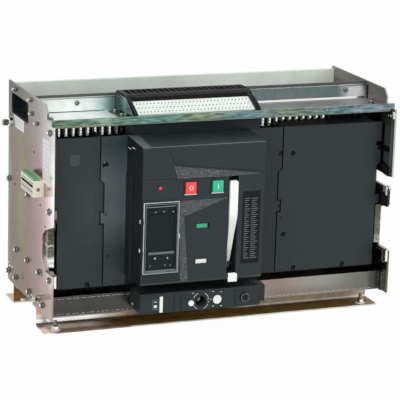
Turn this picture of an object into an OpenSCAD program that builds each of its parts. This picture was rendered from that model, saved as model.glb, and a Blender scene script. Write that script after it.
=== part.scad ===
// Withdrawable low-voltage air circuit breaker in its steel cradle.
// Millimetres, +Z up, floor at z = 0, X across the front, -Y towards the operator.
// Distances called "back" are measured from the front edge of the side plates.
// The origin is on the floor, in the middle of the four floor fixing holes.

/* [Cradle] */
// Overall width over the two side plates
cradle_w = 800; // [760:5:1000]
// Depth of the side plates
plate_d = 341; // [330:1:420]
// Height of the side plates' top edge above the floor
plate_top = 508; // [500:1:560]
// Thickness of the side plates
plate_t = 4; // [2:0.5:6]
// Thickness of the folded sheet parts
sheet_t = 3; // [2:0.5:4]
// Height of the base rails
rail_h = 44; // [40:1:80]

/* [Base rails] */
// Width of a base rail's floor flange
flange_w = 65; // [50:1:80]
// Distance back to the front rail's front edge
front_rail_back = 50; // [45:1:70]
// Distance back to the rear rail's web
rear_rail_back = 290; // [250:1:300]
// Diameter of the floor fixing holes
floor_hole_d = 11; // [9:0.5:14]
// Distance from a flange's free edge to its holes
hole_inset = 14; // [12:1:25]
// Distance from a plate's outer face to the holes
hole_side = 32; // [20:1:60]

/* [Side plate cut-outs] */
// Height of the notch's lower edge
notch_z = 144; // [130:1:150]
// Height of the notch at the front edge
notch_h = 110; // [90:1:120]
// Depth of the notch
notch_d = 72; // [50:1:80]
// Height of the right plate's upper slot above the floor
slot_z = 289; // [280:1:295]
// Height of that slot
slot_h = 26; // [15:1:30]
// Length of a lifting handle opening
handle_l = 130; // [100:1:150]
// Height of a lifting handle opening
handle_h = 46; // [40:1:50]
// Depth of a lifting handle cup
cup_d = 22; // [15:0.5:24]

/* [Top channel] */
// Height of the channel's floor
channel_z = 465; // [460:1:470]
// Distance back to the channel's front lip
lip_back = 12; // [5:1:30]
// Height of the front lip
lip_h = 18; // [10:1:30]
// Distance back to the channel's rear wall
channel_back = 158; // [145:1:165]
// Height of the channel's rear wall
channel_wall_h = 35; // [25:1:40]

/* [Breaker] */
// Distance between pole centres
pole_pitch = 250; // [230:1:250]
// Gap between the breaker's upper panels and the side plates
side_gap = 10.5; // [10.5:0.5:14]
// Height of the breaker's underside
body_z = 100; // [96:1:110]
// Height of the pole housing's top
body_top = 424; // [400:1:430]
// Distance back to the pole housing's back
body_back = 262; // [250:1:265]
// Distance back to the front face of the panels
panel_back = 40; // [30:1:45]
// Thickness of the panels
panel_t = 6; // [4:0.5:10]
// Width of the seams between the panels
seam = 3; // [2:0.5:4]
// Height of the panels' top edge
panel_top = 436; // [430:1:440]
// Height at which the outer panels step in above the rails
step_z = 345; // [330:1:380]
// How far the outer panels step in
step_in = 9; // [9:0.5:14]

/* [Control unit] */
// Distance from the middle of the cradle to the control unit's centre
control_x = -81; // [-90:1:-60]
// Width of the control unit
control_w = 280; // [275:1:290]
// Height of the control unit's lower edge
control_z = 126; // [120:1:130]
// Height of the control unit's front face
control_h = 304; // [300:1:306]
// How far the face stands in front of the panels
control_proud = 100; // [90:1:120]
// Width of a push button
button_w = 28; // [20:1:30]
// Height of a push button
button_h = 29; // [20:1:30]
// Clearance around a push button
button_gap = 0.6; // [0.3:0.1:0.9]
// Travel of a push button
button_travel = 5; // [3:0.5:8]

/* [Charging lever] */
// Length of the lever above its pivot
lever_l = 192; // [150:1:194]
// Width of the grip
lever_w = 18; // [16:0.5:18]
// Thickness of the lever
lever_t = 9; // [6:0.5:10]
// Diameter of the lever's pivot pin
pivot_d = 8; // [6:0.5:10]
// Radial clearance of the pivot pin
pivot_gap = 0.08; // [0.05:0.01:0.1]
// Width of the slot that the lever folds into
lever_slot_w = 21.5; // [21:0.5:24]

/* [Trip unit] */
// Width of the trip unit's window frame
trip_w = 78; // [74:1:84]
// Height of the trip unit's window frame
trip_h = 153; // [140:1:160]
// Thickness of the clear window
cover_t = 6; // [5:0.5:8]
// Diameter of the window's hinge pins
hinge_pin_d = 3; // [2:0.5:4]
// Radial clearance of the hinge pins
hinge_gap = 0.08; // [0.05:0.01:0.1]

/* [Racking unit] */
// Width of the racking unit
racking_w = 282; // [270:1:285]
// Height of the racking unit
racking_h = 45; // [42:1:48]
// How far the racking unit stands in front of the side plates
racking_proud = 30; // [20:1:45]
// Diameter of the crank hole
crank_hole_d = 19; // [16:0.5:24]
// Diameter of the drive shaft inside the crank hole
drive_d = 9; // [6:0.5:9]

/* [Rails] */
// Height of a slide rail's underside
runner_z = 119; // [116:1:120]
// Height of a slide rail
runner_h = 26; // [20:1:26]
// Sliding clearance of a rail
runner_gap = 0.8; // [0.5:0.1:0.9]

/* [Terminals] */
// Width of a main terminal
terminal_w = 160; // [100:5:200]
// Thickness of a main terminal
terminal_t = 20; // [10:1:30]
// Length of a main terminal behind the rear wall
terminal_l = 84; // [60:1:100]
// Diameter of a main terminal's bolt holes
terminal_hole_d = 13; // [9:0.5:17]
// Height of the upper terminals' centre
upper_terminal_z = 350; // [330:1:370]
// Height of the lower terminals' centre
lower_terminal_z = 190; // [160:1:200]

/* [Hidden] */

$fn = 48;
join = 0.01;
half_w = cradle_w / 2;
inner_w = half_w - plate_t;
sides = [-1, 1];

// Floor fixing pattern; its middle is the origin
front_hole_back = front_rail_back + hole_inset;
rear_hole_back = rear_rail_back + flange_w - hole_inset;
base_mid = (front_hole_back + rear_hole_back) / 2;

zinc = [0.66, 0.62, 0.60];
dark_zinc = [0.45, 0.44, 0.42];
black = [0.20, 0.22, 0.23];
jet = [0.08, 0.09, 0.10];
cream = [0.91, 0.90, 0.82];
white = [0.95, 0.96, 0.93];

// ---- helpers ----

// Moves children from the plates' front edge to the part's own frame
module in_place() {
  translate([0, -base_mid, 0]) children();
}

// Children as drawn on the right side, or mirrored onto the left
module on_side(side) {
  mirror([side < 0 ? 1 : 0, 0, 0]) children();
}

// A box from its lowest corner to its highest corner
module box(low, high) {
  translate(low) cube(high - low);
}

// Extrudes a [back, height] outline across the cradle from x to x + w
module across(x, w) {
  translate([x, 0, 0]) rotate([90, 0, 90]) linear_extrude(w) children();
}

// Extrudes an [x, height] outline backwards from y to y + d
module backwards(y, d) {
  translate([0, y + d, 0]) rotate([90, 0, 0]) linear_extrude(d) children();
}

// A cylinder that points backwards
module rod_y(d, l) {
  rotate([-90, 0, 0]) cylinder(d = d, h = l);
}

// A cylinder that points to the right
module rod_x(d, l) {
  rotate([0, 90, 0]) cylinder(d = d, h = l);
}

// A rectangle with round corners
module round_rect(w, h, r) {
  translate([r, 0]) square([w - 2 * r, h]);
  translate([0, r]) square([w, h - 2 * r]);
  for (x = [r, w - r], z = [r, h - r]) translate([x, z]) circle(r);
}

// ---- cradle ----

handle_back = 185;
handle_z = 439;
handle_r = 8;

// Height of the low shoulder at the front of a plate, which carries the channel's lip
shoulder_z = channel_z + 5;

module plate_outline() {
  nose = [46, shoulder_z + 8];
  corner = 16;
  difference() {
    polygon([
      [0, rail_h], [0, shoulder_z], [nose[0] - 14, shoulder_z],
      nose, [nose[0], plate_top - corner], [nose[0] + corner, plate_top],
      [plate_d, plate_top], [plate_d, rail_h + 6], [plate_d - 6, rail_h]
    ]);
    notch_outline();
  }
}

// Open-fronted notch that gives access to the slide rails
module notch_outline() {
  polygon([
    [-1, notch_z], [notch_d - 22, notch_z], [notch_d, notch_z + 28],
    [notch_d, notch_z + notch_h - 35], [notch_d - 19, notch_z + notch_h - 20],
    [-1, notch_z + notch_h]
  ]);
}

// Spare fixing holes in the side plates, as [back, height]
module spare_holes() {
  hole_d = 7;
  for (at = [[140, 387], [286, 280], [91, 281], [53, 242]]) translate(at) circle(d = hole_d);
}

module left_side_plate() {
  color(zinc) in_place() across(-half_w, plate_t) difference() {
    plate_outline();
    spare_holes();
    translate([handle_back, handle_z]) round_rect(handle_l, handle_h, handle_r);
  }
}

module right_side_plate() {
  slot_d = 84;
  tongue_set = 12;
  notch_top = notch_z + notch_h;
  color(zinc) in_place() across(inner_w, plate_t) difference() {
    plate_outline();
    spare_holes();
    translate([-1, slot_z]) square([slot_d + 1, slot_h]);
    translate([-1, notch_top - 1]) square([tongue_set + 1, slot_z - notch_top + 2]);
  }
}

crossbar_back = 35;
crossbar_h = 43;

module bottom_pan() {
  color(dark_zinc) in_place()
    box([-inner_w, crossbar_back + sheet_t, rail_h], [inner_w, plate_d - 6, rail_h + sheet_t]);
}

module front_crossbar() {
  flange = 14;
  top = rail_h + crossbar_h;
  color(zinc) in_place() union() {
    across(-inner_w, 2 * inner_w) union() {
      translate([crossbar_back, rail_h]) square([sheet_t, crossbar_h]);
      translate([crossbar_back, top - sheet_t]) square([21, sheet_t]);
    }
    for (side = sides) on_side(side)
      box([inner_w - sheet_t, crossbar_back - flange, rail_h], [inner_w, crossbar_back + join, top]);
  }
}

// Z-section rail: floor flange, web and top flange
module base_rail_outline() {
  bend = 4;
  square([flange_w, sheet_t]);
  translate([flange_w - sheet_t, 0]) square([sheet_t, rail_h]);
  translate([flange_w - sheet_t, rail_h - sheet_t]) square([30, sheet_t]);
  translate([flange_w - sheet_t - bend, sheet_t]) difference() {
    square([bend + join, bend]);
    translate([0, bend]) circle(bend);
  }
}

module floor_holes(back) {
  for (side = sides) translate([side * (half_w - hole_side), back, -1])
    cylinder(d = floor_hole_d, h = sheet_t + 2);
}

module front_base_rail() {
  color(zinc) in_place() difference() {
    across(-half_w, cradle_w) translate([front_rail_back, 0]) base_rail_outline();
    floor_holes(front_hole_back);
  }
}

module rear_base_rail() {
  color(zinc) in_place() difference() {
    across(-half_w, cradle_w) translate([rear_rail_back + flange_w, 0])
      mirror([1, 0]) base_rail_outline();
    floor_holes(rear_hole_back);
  }
}

module top_channel() {
  color(zinc) in_place() union() {
    across(-inner_w, 2 * inner_w) union() {
      translate([lip_back, channel_z]) square([channel_back - lip_back, sheet_t]);
      translate([lip_back, channel_z]) square([sheet_t, lip_h]);
      translate([channel_back - sheet_t, channel_z]) square([sheet_t, channel_wall_h]);
    }
    box([-half_w, lip_back, shoulder_z], [half_w, lip_back + sheet_t, channel_z + lip_h]);
  }
}

module arc_barrier() {
  color(zinc) in_place()
    box([-inner_w, channel_back, channel_z], [inner_w, channel_back + sheet_t, plate_top - 2]);
}

// ---- rear wall and main terminals ----

wall_t = 12;
wall_back = plate_d - wall_t;
pole_xs = [-pole_pitch, 0, pole_pitch];

terminal_zs = [upper_terminal_z, lower_terminal_z];

module each_terminal() {
  for (x = pole_xs, z = terminal_zs) translate([x, 0, z]) children();
}

module rear_wall() {
  color([0.71, 0.73, 0.70]) in_place() difference() {
    box([-inner_w, wall_back, rail_h + sheet_t], [inner_w, plate_d, plate_top - 6]);
    each_terminal()
      box([-terminal_w / 2, wall_back - 1, -terminal_t / 2],
          [terminal_w / 2, plate_d + 1, terminal_t / 2]);
  }
}

stub_l = 40;
terminal_hole_xs = [-50, 50];
terminal_hole_ys = [plate_d + 24, plate_d + 64];

// Copper bar with a narrower contact stub in front of the rear wall
module terminal_bar() {
  stub_w = terminal_w - 20;
  difference() {
    union() {
      box([-terminal_w / 2, wall_back, -terminal_t / 2],
          [terminal_w / 2, plate_d + terminal_l, terminal_t / 2]);
      box([-stub_w / 2, wall_back - stub_l, -terminal_t / 2],
          [stub_w / 2, wall_back + join, terminal_t / 2]);
    }
    for (x = terminal_hole_xs, y = terminal_hole_ys) translate([x, y, -terminal_t / 2 - 1])
      cylinder(d = terminal_hole_d, h = terminal_t + 2);
  }
}

module main_terminals() {
  color([0.78, 0.78, 0.76]) in_place() each_terminal() terminal_bar();
}

// ---- auxiliary terminals on the top channel ----

aux_left = -212;
aux_right = 80;
aux_floor = channel_z + sheet_t;
strip_low = [24, 479];
strip_high = [69, 500];

module auxiliary_terminal_housing() {
  back = channel_back - sheet_t;
  color(jet) in_place() across(aux_left, aux_right - aux_left) polygon([
    [18, aux_floor], [18, strip_low[1] - 3], strip_low, strip_high,
    [78, 511], [88, 514], [back - 10, 514], [back - 2, 508], [back - 2, aux_floor]
  ]);
}

module auxiliary_terminal_strip() {
  strip_t = 5;
  rise = strip_high - strip_low;
  color(white) in_place() across(aux_left + 6, 272) translate(strip_low)
    rotate(atan2(rise[1], rise[0])) square([norm(rise) - 2, strip_t]);
}

module auxiliary_terminal_brackets() {
  ends = [aux_left - sheet_t, aux_right];
  color(zinc) in_place() for (x = ends) {
    across(x, sheet_t) polygon([
      [17, aux_floor], [24, 480], [60, 500], [84, 510], [140, 510], [140, aux_floor]
    ]);
    tab_x = x < 0 ? x - 18 : x + sheet_t;
    box([tab_x, 60, aux_floor], [tab_x + 18, 140, aux_floor + sheet_t]);
  }
}

// ---- guides, rails and handles ----

guide_t = 5;
fixed_z = runner_z - runner_gap - 2;
fixed_h = runner_h + 2 * runner_gap + 4;
rail_front = 5;

// Black moulded guides on the inner faces of the side plates
module side_guides() {
  color(jet) in_place() for (side = sides) on_side(side) {
    across(inner_w - guide_t, guide_t) polygon([
      [6, 322], [10, 315], [50, 318], [110, 318], [110, channel_z], [6, channel_z]
    ]);
    across(inner_w - guide_t, guide_t) polygon([
      [4, 252], [8, 245], [50, 243], [84, 243], [84, slot_z], [12, slot_z], [4, slot_z - 8]
    ]);
  }
}

// Fixed C-shaped rails, open towards the breaker
module fixed_rails() {
  depth = 8;
  color(zinc) in_place() for (side = sides) on_side(side)
    difference() {
      box([inner_w - depth, rail_front, fixed_z], [inner_w, wall_back - 4, fixed_z + fixed_h]);
      box([inner_w - depth - 1, rail_front - 1, fixed_z + 2],
          [inner_w - 2, wall_back, fixed_z + fixed_h - 2]);
    }
}

module rail_brackets() {
  z = fixed_z + fixed_h;
  color(zinc) in_place() for (side = sides) on_side(side) union() {
    box([inner_w - sheet_t, 45, z], [inner_w, 90, 242]);
    box([inner_w - 14.5, 45, z + 4], [inner_w, 45 + sheet_t, 242]);
  }
}

// Moving C-shaped rail that carries the breaker's rollers
module slide_rail() {
  x_in = inner_w - 13;
  x_out = inner_w - 2 - runner_gap;
  difference() {
    box([x_in, rail_front, runner_z], [x_out, wall_back - 6, runner_z + runner_h]);
    box([x_in - 1, rail_front + 3, runner_z + 2],
        [x_out - 2, wall_back, runner_z + runner_h - 2]);
  }
  box([x_out - 3, rail_front - 6, runner_z], [x_out + 2, rail_front - 2, runner_z + runner_h]);
  box([x_in, rail_front - 3, runner_z], [x_out, rail_front + join, runner_z + runner_h]);
}

module left_slide_rail() {
  color(zinc) in_place() on_side(-1) slide_rail();
}

module right_slide_rail() {
  color(zinc) in_place() slide_rail();
}

// Cup behind the left plate's handle opening, open outwards
module handle_cup() {
  wall = 2.5;
  rim = 0.5;
  color(jet) in_place() on_side(-1)
    difference() {
      across(inner_w - cup_d, cup_d) translate([handle_back - wall, handle_z - wall])
        round_rect(handle_l + 2 * wall, handle_h + 2 * wall, handle_r + wall);
      across(inner_w - cup_d + wall, cup_d) translate([handle_back + rim, handle_z + rim])
        round_rect(handle_l - 2 * rim, handle_h - 2 * rim, handle_r);
    }
}

// ---- racking unit ----

racking_x = -210;
racking_z = 53;
racking_face = -racking_proud;
control_row_z = racking_z + 20;
crank_x = racking_x + 141;
button_x = racking_x + 118;
disc_x = racking_x + 180;
key_x = racking_x + racking_w - 37;
tab_x = racking_x + 45;
tab_w = 7;
tab_h = 36;
tab_l = 45;
release_d = 13;
disc_d = 20;
key_d = 22;
fit_gap = 0.5;

module racking_housing() {
  right = racking_x + racking_w;
  top = racking_z + racking_h;
  color(jet) in_place() difference() {
    union() {
      backwards(racking_face, crossbar_back - racking_face) polygon([
        [racking_x, racking_z + 2], [racking_x + 2, racking_z], [right - 2, racking_z],
        [right, racking_z + 2], [right, top - 8], [right - 5, top], [racking_x, top]
      ]);
      backwards(0, crossbar_back) polygon([
        [right - 14, racking_z - 2], [right + 23, racking_z - 2], [right + 23, top - 11],
        [right + 11, top + 1], [right - 14, top + 1]
      ]);
    }
    translate([crank_x, racking_face - 1, control_row_z]) rod_y(crank_hole_d, 41);
    translate([crank_x, racking_face, control_row_z]) rod_y(drive_d + 2 * pivot_gap, 60);
    translate([button_x, racking_face - 1, control_row_z - 3])
      rod_y(release_d + 2 * fit_gap, 19);
    translate([disc_x, racking_face - 1, control_row_z]) rod_y(disc_d + 2 * fit_gap, 5);
    translate([key_x, racking_face - 1, control_row_z]) rod_y(key_d + 2 * fit_gap, 31);
    box([tab_x - fit_gap, racking_face - 1, control_row_z - tab_h / 2 - fit_gap],
        [tab_x + tab_w + fit_gap, racking_face + tab_l + 2, control_row_z + tab_h / 2 + fit_gap]);
  }
}

// Drive shaft at the bottom of the crank hole
module racking_screw() {
  flat = 7;
  color("silver") in_place() translate([crank_x, racking_face + 14, control_row_z])
    difference() {
      rod_y(drive_d, 44);
      for (s = sides) translate([s * flat - 3.5, -1, -drive_d]) cube([7, 23, 2 * drive_d]);
    }
}

module release_button() {
  color(white) in_place() translate([button_x, racking_face - 2, control_row_z - 3])
    rod_y(release_d, 14);
}

module position_disc() {
  color(white) in_place() translate([disc_x, racking_face + 0.6, control_row_z])
    difference() {
      rod_y(disc_d, 3);
      translate([-1.5, -1, 2]) cube([3, 2, 6]);
    }
}

module key_barrel() {
  color("silver") in_place() translate([key_x, racking_face - 3, control_row_z])
    difference() {
      rod_y(key_d, 32);
      translate([-1.25, -1, -5]) cube([2.5, 12, 10]);
    }
}

module padlock_tab() {
  color(white) in_place() difference() {
    box([tab_x, racking_face - 2, control_row_z - tab_h / 2],
        [tab_x + tab_w, racking_face + tab_l - 4, control_row_z + tab_h / 2]);
    translate([tab_x - 1, racking_face + 10, control_row_z]) rod_x(9, tab_w + 2);
  }
}

// ---- parts on the left plate's outer face ----

block_back = 64;
block_l = 96;
block_z = 305;
block_h = 36;
block_w = 23;

module side_terminal_block() {
  color(cream) in_place() difference() {
    box([-half_w - block_w, block_back, block_z], [-half_w, block_back + block_l, block_z + block_h]);
    box([-half_w - block_w - 1, block_back + 4, block_z + block_h - 9],
        [-half_w - block_w + 6, block_back + block_l - 4, block_z + block_h - 5]);
  }
}

module side_terminal_marker() {
  color([0.33, 0.64, 0.41]) in_place()
    box([-half_w - block_w + 1, block_back + 3, block_z + block_h],
        [-half_w - 8, block_back + block_l, block_z + block_h + 4]);
}

earth_back = 100;
earth_z = 68;
stop_back = 299;
stop_z = 420;

// Hexagonal nut around the X axis
module nut_x(w, h) {
  rotate([0, 90, 0]) cylinder(d = w, h = h, $fn = 6);
}

// Threaded stud that stands out of a side plate's outer face, with a washer and a nut
module plate_stud(d, l, washer_w, washer_t, nut_w, nut_h) {
  rod_x(d, l);
  rod_x(washer_w, washer_t);
  translate([washer_t - join, 0, 0]) nut_x(nut_w, nut_h + join);
}

// Earth stud low on the left plate, and the stop studs at the back of both plates
module side_studs() {
  second = 12;
  color("silver") in_place() {
    translate([-half_w, earth_back, earth_z]) mirror([1, 0, 0]) {
      plate_stud(8, 38, 17, 2, 15, 6.5);
      translate([second, 0, 0]) plate_stud(8, 20, 17, 2, 15, 6.5);
    }
    for (side = sides) on_side(side) translate([half_w, stop_back, stop_z])
      plate_stud(10, 26, 22, 2.5, 19.6, 8);
  }
}

// ---- breaker body ----

body_half = inner_w - side_gap - step_in - 5;
housing_front = panel_back + panel_t;

module pole_housing() {
  groove = 6;
  color(jet) in_place() difference() {
    box([-body_half, housing_front, body_z], [body_half, body_back, body_top]);
    for (x = [-pole_pitch / 2, pole_pitch / 2])
      box([x - groove / 2, housing_front + 20, body_z - 1],
          [x + groove / 2, body_back + 1, body_top + 1]);
  }
}

chute_w = 238;
chute_front = 112;
chute_top = 458;

module arc_chutes() {
  color(jet) in_place() for (x = pole_xs)
    box([x - chute_w / 2, chute_front, body_top], [x + chute_w / 2, body_back - 12, chute_top]);
}

rib_d = 6.4;
rib_pitch = 16.4;
rib_out = 8;
rib_counts = [14, 14, 15];

module arc_chute_ribs() {
  color(cream) in_place() for (i = [0 : len(pole_xs) - 1], k = [0 : rib_counts[i] - 1])
    translate([pole_xs[i] + (k - (rib_counts[i] - 1) / 2) * rib_pitch, 0, 0])
      translate([0, 0, body_top + 1]) linear_extrude(chute_top - body_top - 2) {
        translate([-rib_d / 2, chute_front - rib_out + rib_d / 2])
          square([rib_d, rib_out - rib_d / 2]);
        translate([0, chute_front - rib_out + rib_d / 2]) circle(d = rib_d);
      }
}

// Inner cover boundaries, mirrored about the middle of the inner panels
cover_mid = -69;
wide = 211;
narrow = 202;
tab_low = 244;
tab_high = 268;
tab_out = 8;
outer_up = inner_w - side_gap;
outer_down = outer_up - step_in;

// Height outline of an inner panel's outer edge, as distances from the cover's middle
function inner_edge(grow) = [
  [narrow + grow, body_z + 3], [narrow + grow, tab_low - grow],
  [narrow + tab_out + grow, tab_low - grow], [narrow + tab_out + grow, tab_high + grow],
  [narrow + grow, tab_high + grow], [narrow + grow, step_z - 12],
  [wide + grow, step_z - 5], [wide + grow, panel_top]
];

module inner_panel(side) {
  inner = control_w / 2 + side * (control_x - cover_mid);
  translate([cover_mid, 0]) on_side(side) polygon(concat(
    [[inner, panel_top], [inner, body_z + 3]], inner_edge(0)
  ));
}

// The right one has a latch notch, steps in higher up and has a tab beside the rail bracket
module outer_panel(side) {
  up = outer_up - side * cover_mid;
  down = outer_down - side * cover_mid;
  notch_low = step_z + 36;
  notch_high = notch_low + 10;
  left_step = notch_z + notch_h + 8;
  right_edge = [
    [up, notch_high], [up - 12, notch_high], [up - 12, notch_low], [up, notch_low],
    [up, step_z], [down, step_z - 12],
    [down, 267], [down + 9.5, 267], [down + 9.5, 247], [down, 247]
  ];
  left_edge = [[up, left_step], [down, left_step - 12]];
  translate([cover_mid, 0]) on_side(side) polygon(concat(
    inner_edge(seam), [[up, panel_top]], side > 0 ? right_edge : left_edge, [[down, body_z + 3]]
  ));
}

// Small round holes through an outer or inner panel, as [x, height]
module panel_holes(points, d) {
  for (p = points) translate([p[0], panel_back - 1, p[1]]) rod_y(d, panel_t + 2);
}

// Slots for the covers' lower fixings, as x positions
module foot_slots(xs) {
  for (x = xs) box([x - 5, panel_back - 1, body_z], [x + 5, panel_back + panel_t + 1, body_z + 14]);
}

panel_hole_d = 11;

module left_outer_panel() {
  color(black) in_place() difference() {
    backwards(panel_back, panel_t) outer_panel(-1);
    foot_slots([-308]);
  }
}

module right_outer_panel() {
  color(black) in_place() union() {
    difference() {
      backwards(panel_back, panel_t) outer_panel(1);
      panel_holes([[168, 375], [152, 190]], panel_hole_d);
      foot_slots([180, 301]);
    }
    box([cover_mid + wide + seam, housing_front, panel_top - sheet_t],
        [body_half, chute_front - rib_out - 2, panel_top]);
  }
}

module left_inner_panel() {
  color(black) in_place() union() {
    difference() {
      backwards(panel_back, panel_t) inner_panel(-1);
      panel_holes([[cover_mid - narrow, 374]], 13);
    }
    box([cover_mid - wide, housing_front, body_top],
        [cover_mid - wide + sheet_t, chute_front - rib_out - 2, panel_top]);
  }
}

module right_inner_panel() {
  color(black) in_place() difference() {
    backwards(panel_back, panel_t) inner_panel(1);
    box([cover_mid + narrow, panel_back - 1, 372], [cover_mid + wide + 1, housing_front + 1, 382]);
  }
}

// ---- breaker front ----

face = panel_back - control_proud;
control_left = control_x - control_w / 2;
control_right = control_x + control_w / 2;
control_top = control_z + control_h;

// Hood above the control unit that holds the breaker's own auxiliary contacts
module disconnect_housing() {
  back = chute_front - rib_out - 2;
  color(jet) in_place() across(control_left + 9, control_w + 16) polygon([
    [panel_back - 4, panel_top], [panel_back - 4, chute_top], [back, chute_top],
    [back, body_top], [housing_front, body_top], [housing_front, panel_top]
  ]);
}

off_x = control_left + 109;
on_x = control_left + 171;
button_z = control_z + 212;
button_proud = 4;
button_l = 20;

lever_x = control_left + 197.5;
lever_slot_z = control_z + 13;
lever_slot_d = 40;
lever_axis_back = face + 24;
lever_axis_z = lever_slot_z + 17;
lever_slot_top = lever_axis_z + lever_l + 10;

trip_x = control_left + 2;
trip_z = control_z + 31;
trip_pocket = 8;

window_w = 26;
window_h = 10;
state_window = [control_left + 125, control_z + 121];
spring_window = [control_left + 125, control_z + 42];
lamp = [control_left + 40, control_z + 215];
lamp_d = 5;

// Corner of the groove that crosses the upper part of the face
seam_x = control_left + 72;
seam_z = control_z + 264;

module button_well(x) {
  box([x - button_w / 2 - button_gap, face - 1, button_z - button_h / 2 - button_gap],
      [x + button_w / 2 + button_gap, face + button_l + button_travel,
       button_z + button_h / 2 + button_gap]);
}

module window_pocket(at) {
  box([at[0], face - 1, at[1]], [at[0] + window_w, face + 4, at[1] + window_h]);
}

// Thin groove across the face between two [x, height] points
module face_groove(a, b) {
  groove_w = 1.2;
  groove_d = 1.5;
  run = b - a;
  translate([a[0], face, a[1]]) rotate([0, -atan2(run[1], run[0]), 0])
    translate([0, -1, -groove_w / 2]) cube([norm(run), groove_d + 1, groove_w]);
}

module front_cover() {
  edge = 6;
  color(black) in_place() difference() {
    union() {
      across(control_left, control_w) polygon([
        [panel_back + panel_t, control_z], [face + edge, control_z], [face, control_z + edge],
        [face, control_top - 3], [face + 3, control_top], [panel_back, panel_top],
        [panel_back + panel_t, panel_top]
      ]);
      box([control_left - 2, panel_back - 30, control_z],
          [control_left + 1, panel_back, control_z + 229]);
    }
    for (x = [off_x, on_x]) button_well(x);
    box([lever_x, face - 1, lever_slot_z],
        [lever_x + lever_slot_w, face + lever_slot_d, lever_slot_top]);
    translate([lever_x - 6, lever_axis_back, lever_axis_z])
      rod_x(pivot_d + 2 * pivot_gap, lever_slot_w + 12);
    box([trip_x, face - 1, trip_z], [trip_x + trip_w, face + trip_pocket, trip_z + trip_h]);
    window_pocket(state_window);
    window_pocket(spring_window);
    translate([lamp[0], face - 1, lamp[1]]) rod_y(lamp_d, 4);
    for (k = [0 : 3]) translate([trip_x + 2, face - 1, control_z + 8 + 4.5 * k])
      cube([trip_w + 8, 2.5, 1.8]);
    face_groove([seam_x - 17, control_top - 1], [seam_x, seam_z]);
    face_groove([seam_x, seam_z], [control_right + 1, seam_z - 26]);
    face_groove([control_left - 1, seam_z - 29], [lever_x - 2, seam_z - 33]);
  }
}

hinge_x = trip_x - 3;
hinge_back = face - 5;
lug_d = 7;
lug_h = 10;
lug_zs = [trip_z + 37, trip_z + trip_h - 46];
display_w = 57;
display_h = 84;
display_x = trip_x + 14;
display_top = trip_z + trip_h - 23;

module trip_unit() {
  color(jet) in_place() difference() {
    union() {
      box([trip_x, face - 2, trip_z], [trip_x + trip_w, face + trip_pocket, trip_z + trip_h]);
      for (z = lug_zs) {
        translate([hinge_x, hinge_back, z]) cylinder(d = lug_d, h = lug_h);
        box([hinge_x, face - 5, z], [trip_x + 2, face, z + lug_h]);
      }
    }
    for (z = lug_zs) translate([hinge_x, hinge_back, z - 1])
      cylinder(d = hinge_pin_d + 2 * hinge_gap, h = lug_h + 2);
    box([display_x, face - 3, display_top - display_h],
        [display_x + display_w, face + 1, display_top]);
  }
}

// Clear window hinged at its left edge; the frame stands around the pane
module trip_window() {
  frame_w = 6;
  x0 = trip_x - 2;
  front = face - 3 - cover_t;
  lug_gap = 1;
  color([0.75, 0.80, 0.80, 0.5]) in_place() {
    difference() {
      union() {
        box([x0 + 3, front, trip_z - 1], [trip_x + trip_w + 1, front + cover_t, trip_z + trip_h + 1]);
        box([hinge_x - 2.5, front + 1, trip_z + 30],
            [x0 + 4, front + cover_t, trip_z + trip_h - 30]);
      }
      box([x0 + 3 + frame_w, front - 1, trip_z + frame_w],
          [trip_x + trip_w - frame_w, front + 2, trip_z + trip_h - frame_w]);
      box([x0 + 3 + frame_w, front + 4, trip_z + frame_w],
          [trip_x + trip_w - frame_w, front + cover_t + 1, trip_z + trip_h - frame_w]);
      for (z = lug_zs) translate([hinge_x, hinge_back, z - lug_gap])
        cylinder(d = lug_d + 4, h = lug_h + 2 * lug_gap);
    }
    for (z = lug_zs) translate([hinge_x, hinge_back, z - lug_gap - 3])
      cylinder(d = hinge_pin_d, h = lug_h + 2 * lug_gap + 6);
  }
}

module indicator_plates() {
  color([0.25, 0.60, 0.42]) in_place() {
    for (at = [state_window, spring_window])
      box([at[0], face + 1.5, at[1]], [at[0] + window_w, face + 4, at[1] + window_h]);
    translate([lamp[0], face - 1, lamp[1]]) rod_y(lamp_d, 4);
  }
}

module push_button(x) {
  box([x - button_w / 2, face - button_proud, button_z - button_h / 2],
      [x + button_w / 2, face - button_proud + button_l, button_z + button_h / 2]);
}

module off_button() {
  color([0.90, 0.25, 0.20]) in_place() push_button(off_x);
}

module on_button() {
  color([0.15, 0.70, 0.48]) in_place() push_button(on_x);
}

// Lever that folds up into its slot and turns outwards about its lower end.
// Its blade narrows and bends back towards the pin.
module charging_lever() {
  x = lever_x + (lever_slot_w - lever_w) / 2;
  hub = 7;
  color(white) in_place() {
    translate([0, 0, lever_axis_z]) intersection() {
      backwards(face - 6, 40) polygon([
        [x, -hub], [x + 10.5, -hub], [x + 11, 30], [x + 13, 73], [x + lever_w - 0.5, 110],
        [x + lever_w, 125], [x + lever_w, lever_l - 3], [x + lever_w - 3, lever_l],
        [x + 3, lever_l], [x, lever_l - 3]
      ]);
      across(x, lever_w) polygon([
        [lever_axis_back - hub, -hub], [lever_axis_back - hub, 0], [face + 14.5, 10],
        [face + 6, 40], [face - 2, 80], [face - 5, 116], [face - 5, lever_l],
        [face - 5 + lever_t, lever_l], [face - 5 + lever_t, 130], [face + 8, 110],
        [face + 22, 60], [lever_axis_back + hub, 10], [lever_axis_back + hub, -hub]
      ]);
    }
    translate([lever_x - 5, lever_axis_back, lever_axis_z]) rod_x(pivot_d, lever_slot_w + 10);
  }
}

// ---- contacts and rollers ----

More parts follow.
